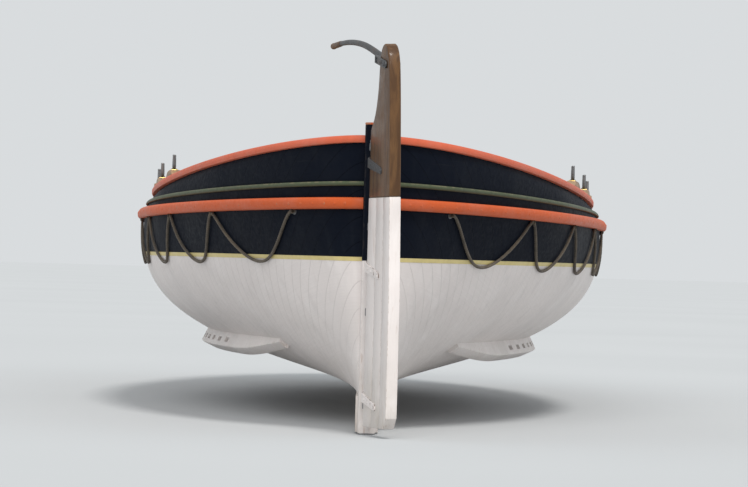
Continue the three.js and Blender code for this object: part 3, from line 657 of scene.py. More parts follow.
OAK = timber("oiled_oak", "oak", (0.31, 0.19, 0.095), (0.17, 0.095, 0.045), 0.5, worn=0.45)
VARNISH = timber("varnished_elm", "varnished_wood", (0.125, 0.062, 0.024), (0.06, 0.028, 0.012), 0.42,
                 coat=0.12, shine=0.22)
SPRUCE = timber("varnished_spruce", "spar_wood", (0.46, 0.25, 0.085), (0.32, 0.155, 0.05), 0.3,
                coat=0.45, ring_scale=14)
OAR_WOOD = timber("oiled_ash", "spar_wood", (0.48, 0.32, 0.16), (0.35, 0.21, 0.10), 0.45,
                  ring_scale=16, worn=0.3)
IRON = metal("galvanized_iron", "iron", (0.16, 0.165, 0.17), 0.5)
BLACK_IRON = metal("painted_iron", "iron", (0.05, 0.05, 0.052), 0.45, rust=0.3, metallic=0.3)
STEEL = metal("steel_plate", "steel_plate", (0.30, 0.31, 0.32), 0.42, rust=0.6, scale=14)
BRASS = metal("brass", "iron", (0.52, 0.36, 0.13), 0.3, rust=0.12, metallic=0.95, scale=12)
CANVAS = woven("sail_canvas", "canvas", (0.58, 0.52, 0.40), (0.40, 0.34, 0.245))
ROPE = laid_rope("hemp_rope", "rope", (0.40, 0.31, 0.19), (0.26, 0.19, 0.11))
TARRED_ROPE = laid_rope("tarred_hemp_rope", "rope", (0.135, 0.105, 0.07), (0.06, 0.047, 0.034))
LEATHER = metal("oar_leather", "varnished_wood", (0.085, 0.04, 0.02), 0.55, rust=0.1, metallic=0.0, scale=60)

# Camera and cords come first

CAMERA_AT = Vector((-34.15, 0, 0.33))
CAMERA_AIM = Vector((0, -0.02, 0.47))
CAMERA_LENS = 206
CAMERA_SENSOR = 36
CAMERA_SIGHT = 500
CAMERA_ROLL = math.radians(1.6)  # the photograph leans a little


def add_camera():
    data = bpy.data.cameras.new("camera")
    data.lens = CAMERA_LENS
    data.sensor_width = CAMERA_SENSOR
    data.clip_end = CAMERA_SIGHT
    made = placed("camera", data)
    turn = (CAMERA_AIM - CAMERA_AT).to_track_quat("-Z", "Y").to_matrix().to_4x4()
    made.matrix_world = Matrix.Translation(CAMERA_AT) @ turn @ Matrix.Rotation(CAMERA_ROLL, 4, "Z")
    bpy.context.scene.camera = made


add_camera()

LINE_RADIUS = 0.011
LINE_CLEAR = 0.003
LINE_BIGHTS = 10  # on each side
LINE_DROP = 0.33
LINE_REACH = 0.93  # station of its last eyes
LINE_TURN = 0.22  # the greater, the rounder is the foot of a bight
LINE_FLAT = LINE_RADIUS * math.cos(math.pi / 8)
LINE_PITCH = 0.075  # one turn of the three strands
LINE_STEPS = 150  # for each bight
STRAND_HOLLOW = 0.26  # how deep the line is between its strands, as a share of its radius
SEIZING_RADIUS = 0.0145
SEIZING_TURNS = (-0.010, 0.0, 0.010)
SEIZING_CORD = 0.0033
EYE_PLATE = [(0, 0.024), (0.005, 0.024), (0.006, 0.02)]


def bight_sag(along):
    eased = lambda depth: math.hypot(depth, LINE_TURN) - LINE_TURN
    return eased(1 - (2 * along - 1) ** 2) / eased(1)


def lifeline_point(share, side=1):
    u = mix(-LINE_REACH, LINE_REACH, share)
    top = wale_height(u) - WALE_HALF_HEIGHT - LINE_FLAT - TOUCH
    z = top - LINE_DROP * bight_sag((share * LINE_BIGHTS) % 1)
    point = on_side(u, z, LINE_RADIUS + LINE_CLEAR)
    return Vector((point.x, side * point.y, point.z))


def strands(line, radius, pitch, sides=12):
    """A three-strand rope along a line, with its grain."""
    run = run_of(line)
    points, faces = tube(line, radius, sides)
    out, grain = [], []
    for index, point in enumerate(points):
        i, k = divmod(index, sides)
        turn = TAU * k / sides
        hollow = 1 - abs(math.cos(1.5 * (turn - TAU * run[i] / pitch)))
        out.append(line[i] + (point - line[i]) * (1.0 - STRAND_HOLLOW * hollow**1.5))
        grain.append((run[i], turn * radius, 0))
    return out, faces, grain


def add_lifelines():
    count = LINE_BIGHTS * LINE_STEPS
    for name, side in SIDES.items():
        line = [lifeline_point(i / count, side) for i in range(count + 1)]
        body = Parts().add(*strands(line, LINE_RADIUS, LINE_PITCH))
        rope = piece("grab_rope_" + name, body, TARRED_ROPE, ["lifeline_" + name], sharp=80)
        eyes, seizing = Parts(), Parts()
        for share in spread(0, 1, LINE_BIGHTS):
            at = lifeline_point(share, side)
            for shift in SEIZING_TURNS:
                loop = [at + Vector((shift, SEIZING_RADIUS * c, SEIZING_RADIUS * s)) for c, s in circle(14)]
                seizing.add(*tube(loop, SEIZING_CORD, 6, closed=True, up=AHEAD))
            u = mix(-LINE_REACH, LINE_REACH, share)
            foot = on_side(u, at.z, -0.004)
            foot.y *= side
            nx, ny = plan_normal(u, at.z)
            eyes.add(*turned(EYE_PLATE, foot, (nx, side * ny, 0), 16))
        piece("grab_rope_seizings_" + name, seizing, TARRED_ROPE)
        piece("grab_rope_plates_" + name, eyes, IRON)


add_lifelines()


# Planking

BOTTOM_STEPS = 44
TOWARDS_KEEL = 1.8  # power by which the bottom's rows lie closer together at the keel
SIDE_STEPS = 14
CUT_LINE = 0.024  # height of the painted line between the two colours
PLANK = 0.028
LINING_IN = 0.040  # from the outside of the hull to the lining's inner face
GRAIN_START = PAINT_LINE - RABBET + 1.2  # the topsides' grain goes on above the bottom's
PLATE_AFT = 1.5  # how far a drop keel reaches from its pivot
PLATE_FORE = 0.12
SLOT_CLEAR = 0.012


def add_bottom():
    rows = [mix(RABBET, PAINT_LINE, share**TOWARDS_KEEL) for share in spread(0, 1, BOTTOM_STEPS)]
    loops, grain = [], []
    for u in HULL_STATIONS:
        side = [on_side(u, z) for z in rows]
        top, run = side[-1], run_of(side)
        floor_x = x_at(u, DECK_UNDER)
        floor_z = DECK_UNDER if abs(u) < SPACE_END - 0.002 else PAINT_LINE - 0.001
        half = side + [
            Vector((top.x, max(inner_half(top.x, PAINT_LINE, PLANK), 0.012), PAINT_LINE)),
            Vector((floor_x, max(inner_half(floor_x, DECK_UNDER, PLANK), 0.01), floor_z)),
        ]
        loops.append(both_sides(half))
        runs = [(p.x, r, 0) for p, r in zip(half, run + [run[-1], run[-1] + 0.2])]
        grain += runs + runs[::-1]
    bottom = piece("bottom_planking", Parts().add(*skin(loops), grain), WHITE, ["hull_bottom"])
    cut_slots(bottom, RABBET - 0.02, DECK_UNDER + 0.02)


def slot_span(pivot):
    """Where a drop keel's slot starts and ends."""
    return pivot - PLATE_AFT - SLOT_CLEAR, pivot + PLATE_FORE + SLOT_CLEAR


def cut_slots(target, low, high):
    """Cuts the two drop keel slots out of a piece."""
    for name, pivot in DROP_KEEL_PIVOTS.items():
        x0, x1 = slot_span(pivot)
        outline = [(x0, low), (x1, low), (x1, high), (x0, high)]
        points, faces = skin([[(x, y, z) for x, z in outline] for y in (SLOT_HALF, -SLOT_HALF)])
        mesh = bpy.data.meshes.new("slot")
        mesh.from_pydata(points, [], faces)
        cutter = placed("slot_" + name, mesh)
        cut = target.modifiers.new("slot", "BOOLEAN")
        cut.operation = "DIFFERENCE"
        cut.solver = "EXACT"
        cut.object = cutter
        with bpy.context.temp_override(object=target, active_object=target):
            bpy.ops.object.modifier_apply(modifier=cut.name)
        bpy.data.objects.remove(cutter)


def side_shell(outer, inner, low, high, steps, reach=1.0):
    """Both sides of a shell between two distances out from the hull's side, up to a height or the rail."""
    loops, grain = [], []
    for station in HULL_STATIONS:
        u = station * reach
        rows = spread(low, high or sheer(u * HALF_LENGTH), steps)
        run = run_of([on_side(u, z) for z in rows])
        out_side = [on_side(u, z, outer, 0.001) for z in rows]
        in_side = [on_side(u, z, inner, 0.001) for z in reversed(rows)]
        loops.append(out_side + in_side)
        grain += [(p.x, GRAIN_START + r, 0) for p, r in zip(out_side, run)]
        grain += [(p.x, GRAIN_START + r, 1) for p, r in zip(in_side, reversed(run))]
    return Parts().add(*skin(loops), grain).mirrored()


def add_topsides():
    shell = side_shell(0.0, -PLANK, PAINT_LINE + CLEAR, None, SIDE_STEPS)
    piece("topside_planking", shell, BLUE, ["hull_topsides"])
    line = side_shell(0.0016, -0.002, PAINT_LINE - 0.003, PAINT_LINE + CUT_LINE, 2)
    piece("paint_cut_line", line, STRAW)
    lining = side_shell(-PLANK - 0.001, -LINING_IN, DECK_UNDER + 0.001, None, 10, SPACE_END)
    piece("inner_planking", lining, LIGHT_GREY, ["hull_topsides"])


RIBS = 49
FIRST_RIB = -5.75
RIB_SPACING = 0.24
RIB_HALF = 0.017
RIB_SECTION = [  # along the boat, and in from the outside of the hull
    (-RIB_HALF, 0.041), (-RIB_HALF, 0.058), (-RIB_HALF + 0.005, 0.063),
    (RIB_HALF - 0.005, 0.063), (RIB_HALF, 0.058), (RIB_HALF, 0.041),
]
STRINGER_SPAN = (-5.3, 4.9)
STRINGER_WALL = 0.064
STRINGER_SECTION = [  # up, and in from the ribs
    (0.027, 0), (0.027, 0.024), (0.019, 0.030), (-0.019, 0.030), (-0.027, 0.024), (-0.027, 0),
]
STRINGER_HEIGHTS = (lambda x: 0.505, lambda x: sheer(x) - 0.035)  # under the thwarts, and at the rail


def add_ribs():
    parts = Parts()
    for k in range(RIBS):
        x = FIRST_RIB + k * RIB_SPACING
        loops = []
        for z in spread(DECK_TOP + 0.002, sheer(x) - 0.004, 8):
            loops.append([(x + dx, max(inner_half(x + dx, z, wall), 0.003), z) for dx, wall in RIB_SECTION])
        parts.add(*skin(loops), along=2)
    for height in STRINGER_HEIGHTS:
        loops = []
        for x in spread(*STRINGER_SPAN, 100):
            rows = [(height(x) + dz, STRINGER_WALL + dy) for dz, dy in STRINGER_SECTION]
            loops.append([(x, inner_half(x, z, wall), z) for z, wall in rows])
        parts.add(*skin(loops))
    piece("timbers", parts.mirrored(), GREY)


# Strakes along the side

RAIL_SECTION = [  # out from the hull's side, and up from the sheer
    (-0.080, 0.001), (-0.080, 0.042), (-0.076, 0.048), (-0.068, 0.050), (0.014, 0.050),
    (0.026, 0.046), (0.032, 0.036), (0.032, 0.014), (0.027, 0.004), (0.018, 0.001),
]
LEAST_HALF = END_HALF_SIDING + TOUCH  # clear of the stem and the sternpost
WALE_PROUD = 0.055
MOULDING_PROUD = 0.024
WALE_BOLTS = 28  # on each side of the middle


def strake(height, half, profile):
    """A strake that reaches half its height each way: profile lists (share of the height, metres proud)."""
    loops = []
    for u in HULL_STATIONS:
        low, high = height(u) - half, height(u) + half
        loops.append([on_side(u, mix(low, high, share), out, LEAST_HALF) for share, out in profile])
    return skin(loops)


def half_round(proud, flat=0.35, back=-0.002, steps=10):
    """The section of a strake whose outer face is rounded."""
    profile = [(0, back), (0, proud * flat)]
    for t in spread(0, math.pi, steps)[1:-1]:
        profile.append((0.5 - 0.5 * math.cos(t), proud * (flat + (1 - flat) * math.sin(t) ** 0.55)))
    return profile + [(1, proud * flat), (1, back)]


def add_strakes():
    wale = strake(wale_height, WALE_HALF_HEIGHT, half_round(WALE_PROUD))
    moulding = strake(moulding_height, MOULDING_HALF_HEIGHT, half_round(MOULDING_PROUD, flat=0.15))
    cap = []
    for u in HULL_STATIONS:
        z = sheer(u * HALF_LENGTH)
        cap.append([on_side(u, z, out, LEAST_HALF) + UP * rise for out, rise in RAIL_SECTION])
    bolts = Parts()
    for k in range(-WALE_BOLTS, WALE_BOLTS + 1):
        u = math.sin(math.pi / 2 * k / (WALE_BOLTS + 2))
        z = wale_height(u)
        bolts.add(*dome(on_side(u, z, WALE_PROUD - 0.0015), (*plan_normal(u, z), 0), 0.011, 0.0035))
    for name, side in SIDES.items():
        piece("rubbing_wale_" + name, Parts().add(*wale), RED, ["wale_" + name], side=side)
        piece("wale_bolts_" + name, bolts, RED, side=side)
        piece("half_round_" + name, Parts().add(*moulding), GREEN, ["moulding_" + name], side=side)
        piece("rail_cap_" + name, Parts().add(*skin(cap)), SALMON, ["rail_" + name], side=side)
    add_rowlocks()
    add_bilge_keels()


RAIL_MIDDLE = 0.022  # in from the hull's side
ROWLOCK_PLATE = (0.041, 0.048)  # over the rail, as the socket is
ROWLOCK_SOCKET = (0.044, 0.058)
ROWLOCK_COLLAR = [(0, 0.021), (0.008, 0.023), (0.012, 0.016)]
ROWLOCK_TIP = [(-0.006, 0.008), (0, 0.011), (0.006, 0.008)]
CROOK_FOOT = 0.062
CHOCK_HALF = [(-0.17, -0.001), (-0.165, 0.016), (-0.12, 0.036), (-0.06, 0.043)]
CROOK_HALF = [(-0.066, 0.088), (-0.062, 0.062), (-0.056, 0.028), (-0.046, 0.010), (-0.026, 0.0005)]


def rail_place(x):
    """The middle of the rail's top at x, with its axes along and across the rail."""
    def at(value):
        u = station_of(value, sheer(value))
        return Vector((value, half_breadth(u, sheer(value)) - RAIL_MIDDLE, sheer(value) + CAP_THICK))
    along = (at(x + 0.05) - at(x - 0.05)).normalized()
    across = UP.cross(along).normalized()
    axes = Matrix((along, across, along.cross(across))).transposed().to_4x4()
    return at(x), Matrix.Translation(at(x)) @ axes


def add_rowlocks():
    for name, side in SIDES.items():
        chocks, locks, pins = Parts(), Parts(), Parts()
        for thwart in THWARTS:
            at, place = rail_place(thwart + ROWLOCK_FROM_THWART)
            chocks.add(*plate(CHOCK_HALF + mirror(CHOCK_HALF), -0.038, 0.038, 0.006), place=place)
            pins.add(*block((-0.05, 0.05), (-0.026, 0.026), ROWLOCK_PLATE, 0.003), place=place)
            locks.add(*tube([at + UP * height for height in ROWLOCK_SOCKET], 0.0145, 14, up=AHEAD))
            locks.add(*turned(ROWLOCK_COLLAR, at + UP * 0.046, sides=16))
            curve = smooth([*CROOK_HALF, (0, -0.001), *mirror(CROOK_HALF)], 3)
            line = [at + Vector((dx, 0, CROOK_FOOT + dz)) for dx, dz in curve]
            thick = lambda share: 0.0125 - 0.0035 * abs(2 * share - 1) ** 2
            locks.add(*tube(line, thick, 12, up=ACROSS))
            for tip in (line[0], line[-1]):
                locks.add(*turned(ROWLOCK_TIP, tip, sides=12))
        piece("rowlock_chocks_" + name, chocks, OAK, side=side)
        piece("rowlock_plates_" + name, pins, BRASS, side=side)
        piece("rowlocks_" + name, locks, IRON, ["rail_" + name], side=side)


BAR_LOW, BAR_HIGH = -0.275, -0.225
BAR_REACH = math.sin(math.pi / 4)
BAR_TAPER = 0.2071  # the share of the hull at each end where the bars grow to their full depth
BAR_DEPTH = (0.025, 0.110)
BAR_EDGE = 0.007
BAR_SLOPE = (0.45, -0.9)  # out and down, along the bars' depth
HAND_HOLES = [0.385 * k for k in range(-7, 8)]
HAND_HOLE_HALF = 0.085
BAR_PARTS = ((0, 0.38), (0.68, 1))  # shares of the depth that run on past the hand holes
BAR_BETWEEN = (0.30, 0.80)


def bar_depth(u):
    share = min((BAR_REACH - abs(u)) / BAR_TAPER, 1)
    return mix(*BAR_DEPTH, math.sin(math.pi / 2 * max(share, 0)))


def bar_section(u, inner, outer):
    """A section of a bilge bar between two shares of its depth."""
    def at(z, down):
        return on_side(u, z, TOUCH) + Vector((0, down * BAR_SLOPE[0], down * BAR_SLOPE[1]))

    depth = bar_depth(u)
    a, b = (inner * depth if inner else -0.004), outer * depth
    return [
        at(BAR_LOW, a), at(BAR_HIGH, a), at(BAR_HIGH, b - BAR_EDGE), at(BAR_HIGH - 0.002, b - 0.002),
        at(BAR_HIGH - BAR_EDGE, b), at(BAR_LOW + BAR_EDGE, b), at(BAR_LOW + 0.002, b - 0.002),
        at(BAR_LOW, b - BAR_EDGE),
    ]


def add_bilge_keels():
    """A bar under each bilge to stand on, with holes for the hands along its middle."""
    bars = Parts()
    reach = x_at(BAR_REACH, BAR_LOW)
    holes = [station_of(x + way * HAND_HOLE_HALF, BAR_LOW) for x in HAND_HOLES for way in (-1, 1)]
    stops = [-BAR_REACH] + holes + [BAR_REACH]
    for inner, outer in BAR_PARTS:
        bars.add(*skin([bar_section(u, inner, outer) for u in spread(-BAR_REACH, BAR_REACH, 110)]))
    for a, b in zip(stops[::2], stops[1::2]):
        steps = max(2, round((b - a) * reach / 0.05))
        bars.add(*skin([bar_section(u, *BAR_BETWEEN) for u in spread(a, b, steps)]))
    for name, side in SIDES.items():
        piece("bilge_bar_" + name, bars, WHITE_TRIM, ["bilge_keel_" + name], side=side)


# Backbone

STEM_HEAD = 1.35
STEM_FACE = 6.68
STEM_BOTTOM_X = 5.45
STEM_CURVE = 4.5  # power of the curve into the forefoot
STEM_BAND = (0.030, 0.026, 0.007)  # half-width at the stem, half-width outside, and thickness
KEEL_FORE_END = 5.38
POST_HEAD = 1.215
POST_HALF = 0.0598  # the end posts' half siding, next to the hull
HEAD_CUT = 0.02  # what the stem's cap takes off its head, and what the sternpost's takes
POST_CUT = 0.012


def stem_face(z):
    share = (STEM_HEAD - z) / (STEM_HEAD - KEEL_BOTTOM)
    drop = STEM_FACE - STEM_RAKE * (STEM_HEAD - KEEL_BOTTOM) - STEM_BOTTOM_X
    return STEM_FACE - STEM_RAKE * (STEM_HEAD - z) - drop * share**STEM_CURVE


def stem_inner(z):
    return TOUCH + (KEEL_FORE_END if z < RABBET else end_x(1, min(z, SHEER_BOW)))


def post_face(z):
    """The fore side of the sternpost."""
    return -end_x(-1, z) - TOUCH


def post_outer(z):
    return post_face(z) - POST_DEPTH


def tapered_post(rows, inner, outer, half_out, edge=0.012):
    """An end post: its sides draw in a little towards its outer edge, which is rounded."""
    loops = []
    for z in rows:
        x0, x1 = inner(z), outer(z)
        cut = math.copysign(edge, x1 - x0)
        loops.append(both_sides([(x0, POST_HALF, z), (x1 - cut, half_out, z),
                                 (x1 - cut * 0.3, half_out - edge * 0.3, z), (x1, half_out - edge, z)]))
    return skin(loops)


def add_backbone():
    stem_top, post_top = STEM_HEAD - HEAD_CUT, POST_HEAD - POST_CUT
    stem_cap = block((end_x(1, SHEER_BOW) - 0.015, stem_face(stem_top) + 0.002), (-0.064, 0.064),
                     (STEM_HEAD - 0.028, STEM_HEAD), 0.009, 3)
    post_cap = block((post_outer(post_top) - 0.003, post_face(post_top) + 0.003), (-0.0605, 0.0605),
                     (post_top, POST_HEAD + 0.003), 0.006)
    for node, inner, outer, half_out, steps, top, cap in (
        ("stem", stem_inner, stem_face, 0.050, 40, stem_top, stem_cap),
        ("sternpost", post_face, post_outer, 0.056, 24, post_top, post_cap),
    ):
        low, high = spread(KEEL_BOTTOM, PAINT_LINE, steps), spread(PAINT_LINE + CLEAR, top, 16)
        for part, rows, look in (("_foot", low, WHITE_TRIM), ("_timber", high, BLUE_TRIM)):
            body = Parts().add(*tapered_post(rows, inner, outer, half_out), along=2)
            piece(node + part, body, look, [node])
        piece(node + "_cap", Parts().add(*cap), RED, [node])
    bands = Parts().add(*copied("keel_band", 0.003))
    loops = []
    wide, narrow, thick = STEM_BAND
    for z in spread(KEEL_BOTTOM - 0.004, 1.28, 59):
        x = stem_face(z) - 0.002
        loops.append(both_sides([(x, -wide, z), (x + thick, -narrow, z)]))
    bands.add(*skin(loops), along=2)
    piece("keel_and_stem_band", bands, IRON, ["keel_band"])
    piece("keel_timber", Parts().add(*copied("keel", 0.005)), WHITE_TRIM, ["keel"])


# Inside the boat

BOARD = 0.118
HALF_GAP = 0.0015  # half the gap between boards
BOARD_EDGE = 0.003
DECK_ROWS = 13
DECK_SPAN = (-6.3, 6.1)
DECK_WALL = 0.042
DECK_EDGE = 0.0025
LEAST_BOARD = 0.02
VALVES = [(x, side * y) for x in (1.98, 0.93, -0.12, -1.17, -2.22) for y in (0.33, 0.78) for side in (1, -1)]
VALVE_RADIUS = 0.070
VALVE_RIM = 0.075
GRATING_STEP = 0.026


def in_slot(x):
    return any(slot_span(p)[0] - 0.03 < x < slot_span(p)[1] + 0.03 for p in DROP_KEEL_PIVOTS.values())


def add_deck():
    boards = Parts()
    for k in range(-DECK_ROWS, DECK_ROWS + 1):
        y0, y1 = (k - 0.5) * BOARD + HALF_GAP, (k + 0.5) * BOARD - HALF_GAP
        spans = [[]]
        for x in spread(*DECK_SPAN, 160):
            half = inner_half(x, DECK_UNDER, DECK_WALL)
            a, b = max(y0, -half), min(y1, half)
            if b - a > LEAST_BOARD and not (k == 0 and in_slot(x)):
                spans[-1].append(board_section(x, a, b, DECK_UNDER + 0.001, DECK_TOP, DECK_EDGE))
            elif spans[-1]:
                spans.append([])
        for span in spans:
            if len(span) > 1:
                boards.add(*skin(span))
    piece("deck_boards", boards, DECK_GREY, ["deck"])
    valves, grids = Parts(), Parts()
    for x, y in VALVES:
        at = Vector((x, y, DECK_TOP))
        rim = [at + Vector((VALVE_RIM * c, VALVE_RIM * s, 0.001)) for c, s in circle(28)]
        valves.add(*tube(rim, 0.008, 8, closed=True))
        valves.add(*turned([(0, VALVE_RADIUS), (0.004, VALVE_RADIUS)], at - UP * 0.002, sides=28))
        for off in [GRATING_STEP * j for j in range(-2, 3)]:
            reach = math.sqrt(VALVE_RADIUS**2 - off**2)
            heights = (DECK_TOP, DECK_TOP + 0.006)
            grids.add(*block(about(x, reach), about(y + off, 0.004), heights, 0.002, 1))
    piece("relieving_valves", valves, BRASS)
    piece("valve_gratings", grids, IRON)


END_CASES = [("air_case_bow", 4.9, 6.5, 1), ("air_case_stern", -5.35, -6.5, -1)]
CASE_CAMBER = 0.17
CASE_UNDER_RAIL = 0.045
CASE_SIDE_GAP = 0.005
CASE_BOARD = 0.115
CASE_SKIN = 0.035  # how deep the rounded top goes at its edge
COAMING_RADIUS = 0.021
HANDRAIL_FEET = (0.12, 0.38, 0.64)  # shares of the case's length
HANDRAIL_SIDE = 0.55
HANDRAIL_RADIUS = 0.0105
HANDRAIL_POST = [(0, 0.022), (0.006, 0.02), (0.01, 0.011), (0.045, 0.009)]
HANDRAIL_END = 0.06
CASE_PLATE = [
    (0, 0.072), (0.008, 0.070), (0.011, 0.060), (0.007, 0.056), (0.007, 0.01), (0.013, 0.008), (0.013, 0.001),
]


def case_top(x, share, lift=0.0):
    """A point of an end case's rounded top: share is 0 in the middle, 1 at the port side, -1 at the other."""
    edge = sheer(x) - CASE_UNDER_RAIL
    half = max(inner_half(x, edge) - CASE_SIDE_GAP, 0.008)
    return Vector((x, half * share, edge + CASE_CAMBER * half * (1 - share * share) + lift))


def bulkhead_top(x, y):
    reach = inner_half(x, sheer(x) - CASE_UNDER_RAIL) - CASE_SIDE_GAP
    return case_top(x, min(abs(y) / reach, 1)).z - 0.02


def bulkhead_foot(x, y):
    """The lowest height where the hull leaves room for a board that reaches out to y."""
    z = DECK_TOP + 0.002
    while inner_half(x, z) < abs(y) + 0.004 and z < 0.9:
        z += 0.01
    return z


def add_end_cases():
    for node, start, stop, way in END_CASES:
        loops, grain = [], []
        for x in spread(start, stop - way * 0.02, 40):
            over = [case_top(x, share) for share in spread(-1, 1, 32)]
            loop = over + [Vector((p.x, p.y * 0.98, p.z - CASE_SKIN)) for p in reversed(over)]
            loops.append(loop)
            grain += [(p.x, p.y + 3, 0) for p in loop]
        piece(node + "_top", Parts().add(*skin(loops), grain), LIGHT_GREY, [node])

        ends, rails = Parts(), Parts()
        half = inner_half(start, 0.5) + 0.02
        for y0, y1 in pairwise(spread(-half, half, int(2 * half / CASE_BOARD) + 1)):
            foot = max(bulkhead_foot(start, y0), bulkhead_foot(start, y1))
            a, b = y0 + HALF_GAP, y1 - HALF_GAP
            outline = [(a, foot), (b, foot), (b, bulkhead_top(start, b)), (a, bulkhead_top(start, a))]
            if min(outline[2][1], outline[3][1]) - foot > 0.03:
                ends.add(*cross_plate(outline, start + way * 0.002, start + way * 0.028), along=2)
        coaming = [case_top(start, share, -0.006) for share in spread(-1, 1, 40)]
        ends.add(*tube(coaming, COAMING_RADIUS, 10, up=AHEAD), along=1)
        piece(node + "_bulkhead", ends, GREY)

        for side in (1, -1):
            feet = [case_top(mix(start, stop, share), HANDRAIL_SIDE * side) for share in HANDRAIL_FEET]
            for foot in feet:
                rails.add(*turned(HANDRAIL_POST, foot, sides=12))
            posts = [foot + UP * 0.043 for foot in feet]
            first, last = ((posts[end] - posts[1]).normalized() * HANDRAIL_END for end in (0, 2))
            line = smooth([posts[0] + first, *posts, posts[2] + last], 6)
            rails.add(*tube([Vector(p) for p in line], HANDRAIL_RADIUS, 12))
        piece(node + "_handrails", rails, IRON)
        at = case_top(mix(start, stop, 0.16), 0.0) - UP * 0.004
        piece(node + "_plate", Parts().add(*turned(CASE_PLATE, at, sides=32)), BRASS)


HOOK_ARM = 0.42
HOOK_THROAT = 0.19
HOOK_WALL = 0.080
HOOK_BACK = 0.09  # where its arms start, aft of the hull's end
HOOK_TIP = 0.06  # width of the arms' ends


def add_breast_hooks():
    """A forked knee at each end, level with the rails, that ties them to the end post."""
    for name, way in (("bow", 1), ("stern", -1)):
        arms = []
        for back in spread(HOOK_BACK, HOOK_ARM, 8):
            x = way * (HALF_LENGTH - back)
            arms.append((back, max(inner_half(x, sheer(x), HOOK_WALL) + 0.005, END_HALF_SIDING)))
        tip = arms[-1][1] - HOOK_TIP
        turns = spread(0, math.pi / 2, 8)
        fork = [(mix(HOOK_ARM, HOOK_THROAT, math.sin(t)), tip * math.cos(t)) for t in turns]
        half = [(0.001, END_HALF_SIDING), *arms, *fork]
        outline = half + [(back, -y) for back, y in reversed(half[:-1])]
        points, faces = plate(outline, -0.02, CAP_THICK - 0.002, 0.006)
        run = [way * (HALF_LENGTH - p.x) for p in points]
        points = [(x, p.z, sheer(x) + p.y) for x, p in zip(run, points)]
        piece("breast_hook_" + name, Parts().add(points, faces, along=1), OAK)


CASE_FROM, CASE_TO = -3.7, 3.4
CASE_INNER = 1.09
CASE_TOP = 0.43
CASE_LID_WIDTH = 0.125


def add_side_cases():
    low, under = DECK_TOP + 0.001, CASE_TOP - 0.024
    front = (CASE_INNER, CASE_INNER + 0.02)
    for name, side in SIDES.items():
        boards = Parts()
        for a, b in pairwise(spread(CASE_FROM, CASE_TO, int((CASE_TO - CASE_FROM) / BOARD))):
            boards.add(*block((a + HALF_GAP, b - HALF_GAP), front, (low, under), BOARD_EDGE), along=2)
        for row in range(6):
            y0 = CASE_INNER - 0.004 + row * CASE_LID_WIDTH
            a, loops = y0 + HALF_GAP, []
            for x in spread(CASE_FROM, CASE_TO, 60):
                outer = inner_half(x, CASE_TOP - 0.02, LINED_WALL)
                b = min(y0 + CASE_LID_WIDTH - HALF_GAP, outer)
                if a < outer:
                    b = b if b - a >= 0.012 else a + 0.001
                    loops.append(board_section(x, a, b, under, CASE_TOP, BOARD_EDGE))
            if len(loops) > 2:
                boards.add(*skin(loops))
        y, high = CASE_INNER + 0.022, CASE_TOP - 0.025
        for x, way in ((CASE_FROM, 1), (CASE_TO, -1)):
            foot = inner_half(x, DECK_TOP + 0.02, LINED_WALL) - 0.01
            head = inner_half(x, CASE_TOP - 0.03, LINED_WALL) - 0.005
            outline = [(y, low), (foot, low), (head, high), (y, high)]
            boards.add(*cross_plate(outline, x + way * 0.001, x + way * 0.022), along=1)
        piece("side_case_boards_" + name, boards, GREY, ["side_case_" + name], side=side)


THWART_HALF = 0.125
THWART_UNDER = THWART_TOP - 0.045
THWART_EDGE = 0.008
THWART_SECTION = [
    (THWART_EDGE - THWART_HALF, THWART_UNDER), (-THWART_HALF, THWART_UNDER + THWART_EDGE),
    (-THWART_HALF, THWART_TOP - THWART_EDGE), (THWART_EDGE - THWART_HALF, THWART_TOP),
]
CHOCK_REACH = (1.18, 1.33)
PILLARED = (3, 4, 6)  # the thwarts that stand on a turned pillar
PILLAR = [
    (0, 0.035), (0.035, 0.035), (0.042, 0.028), (0.055, 0.031), (0.10, 0.026), (0.18, 0.030), (0.26, 0.026),
    (0.30, 0.031), (0.312, 0.028), (0.32, 0.034), (0.3545, 0.034),
]
KNEE_WALL = 0.064
KNEE_LENGTH = 0.30
KNEE_HALF = 0.017
KNEE_APART = 0.085  # from the thwart's middle
KNEE_BELOW_SHEER = 0.075
KNEE_HEEL = (0.006, 0.026)  # how its lower end slopes: in, and up


def add_thwarts():
    for number, x in enumerate(THWARTS, 1):
        loops = []
        half = inner_half(x, THWART_TOP, LINED_WALL)
        for share in spread(-1, 1, 40):
            loop = []
            for dx, z in THWART_SECTION + mirror(THWART_SECTION):
                reach = inner_half(x + dx, z, LINED_WALL)
                y = reach if abs(share) == 1 else min(half * abs(share), reach)
                loop.append((x + dx, math.copysign(y, share), z))
            loops.append(loop)
        piece(f"thwart_seat_{number}", Parts().add(*skin(loops), along=1), OAK, [f"thwart_{number}"])
        supports = Parts()
        for side in (1, -1):
            reach = (side * CHOCK_REACH[0], side * CHOCK_REACH[1])
            supports.add(*block(about(x, 0.045), reach, (CASE_TOP + CLEAR, THWART_UNDER), 0.006), along=2)
        if number in PILLARED:
            supports.add(*turned(PILLAR, (x, 0, ON_DECK), sides=20), along=2)
        knees = knee_pair(x)
        piece(f"thwart_chocks_{number}", supports, OAK)
        piece(f"thwart_knees_{number}", knees, OAK)


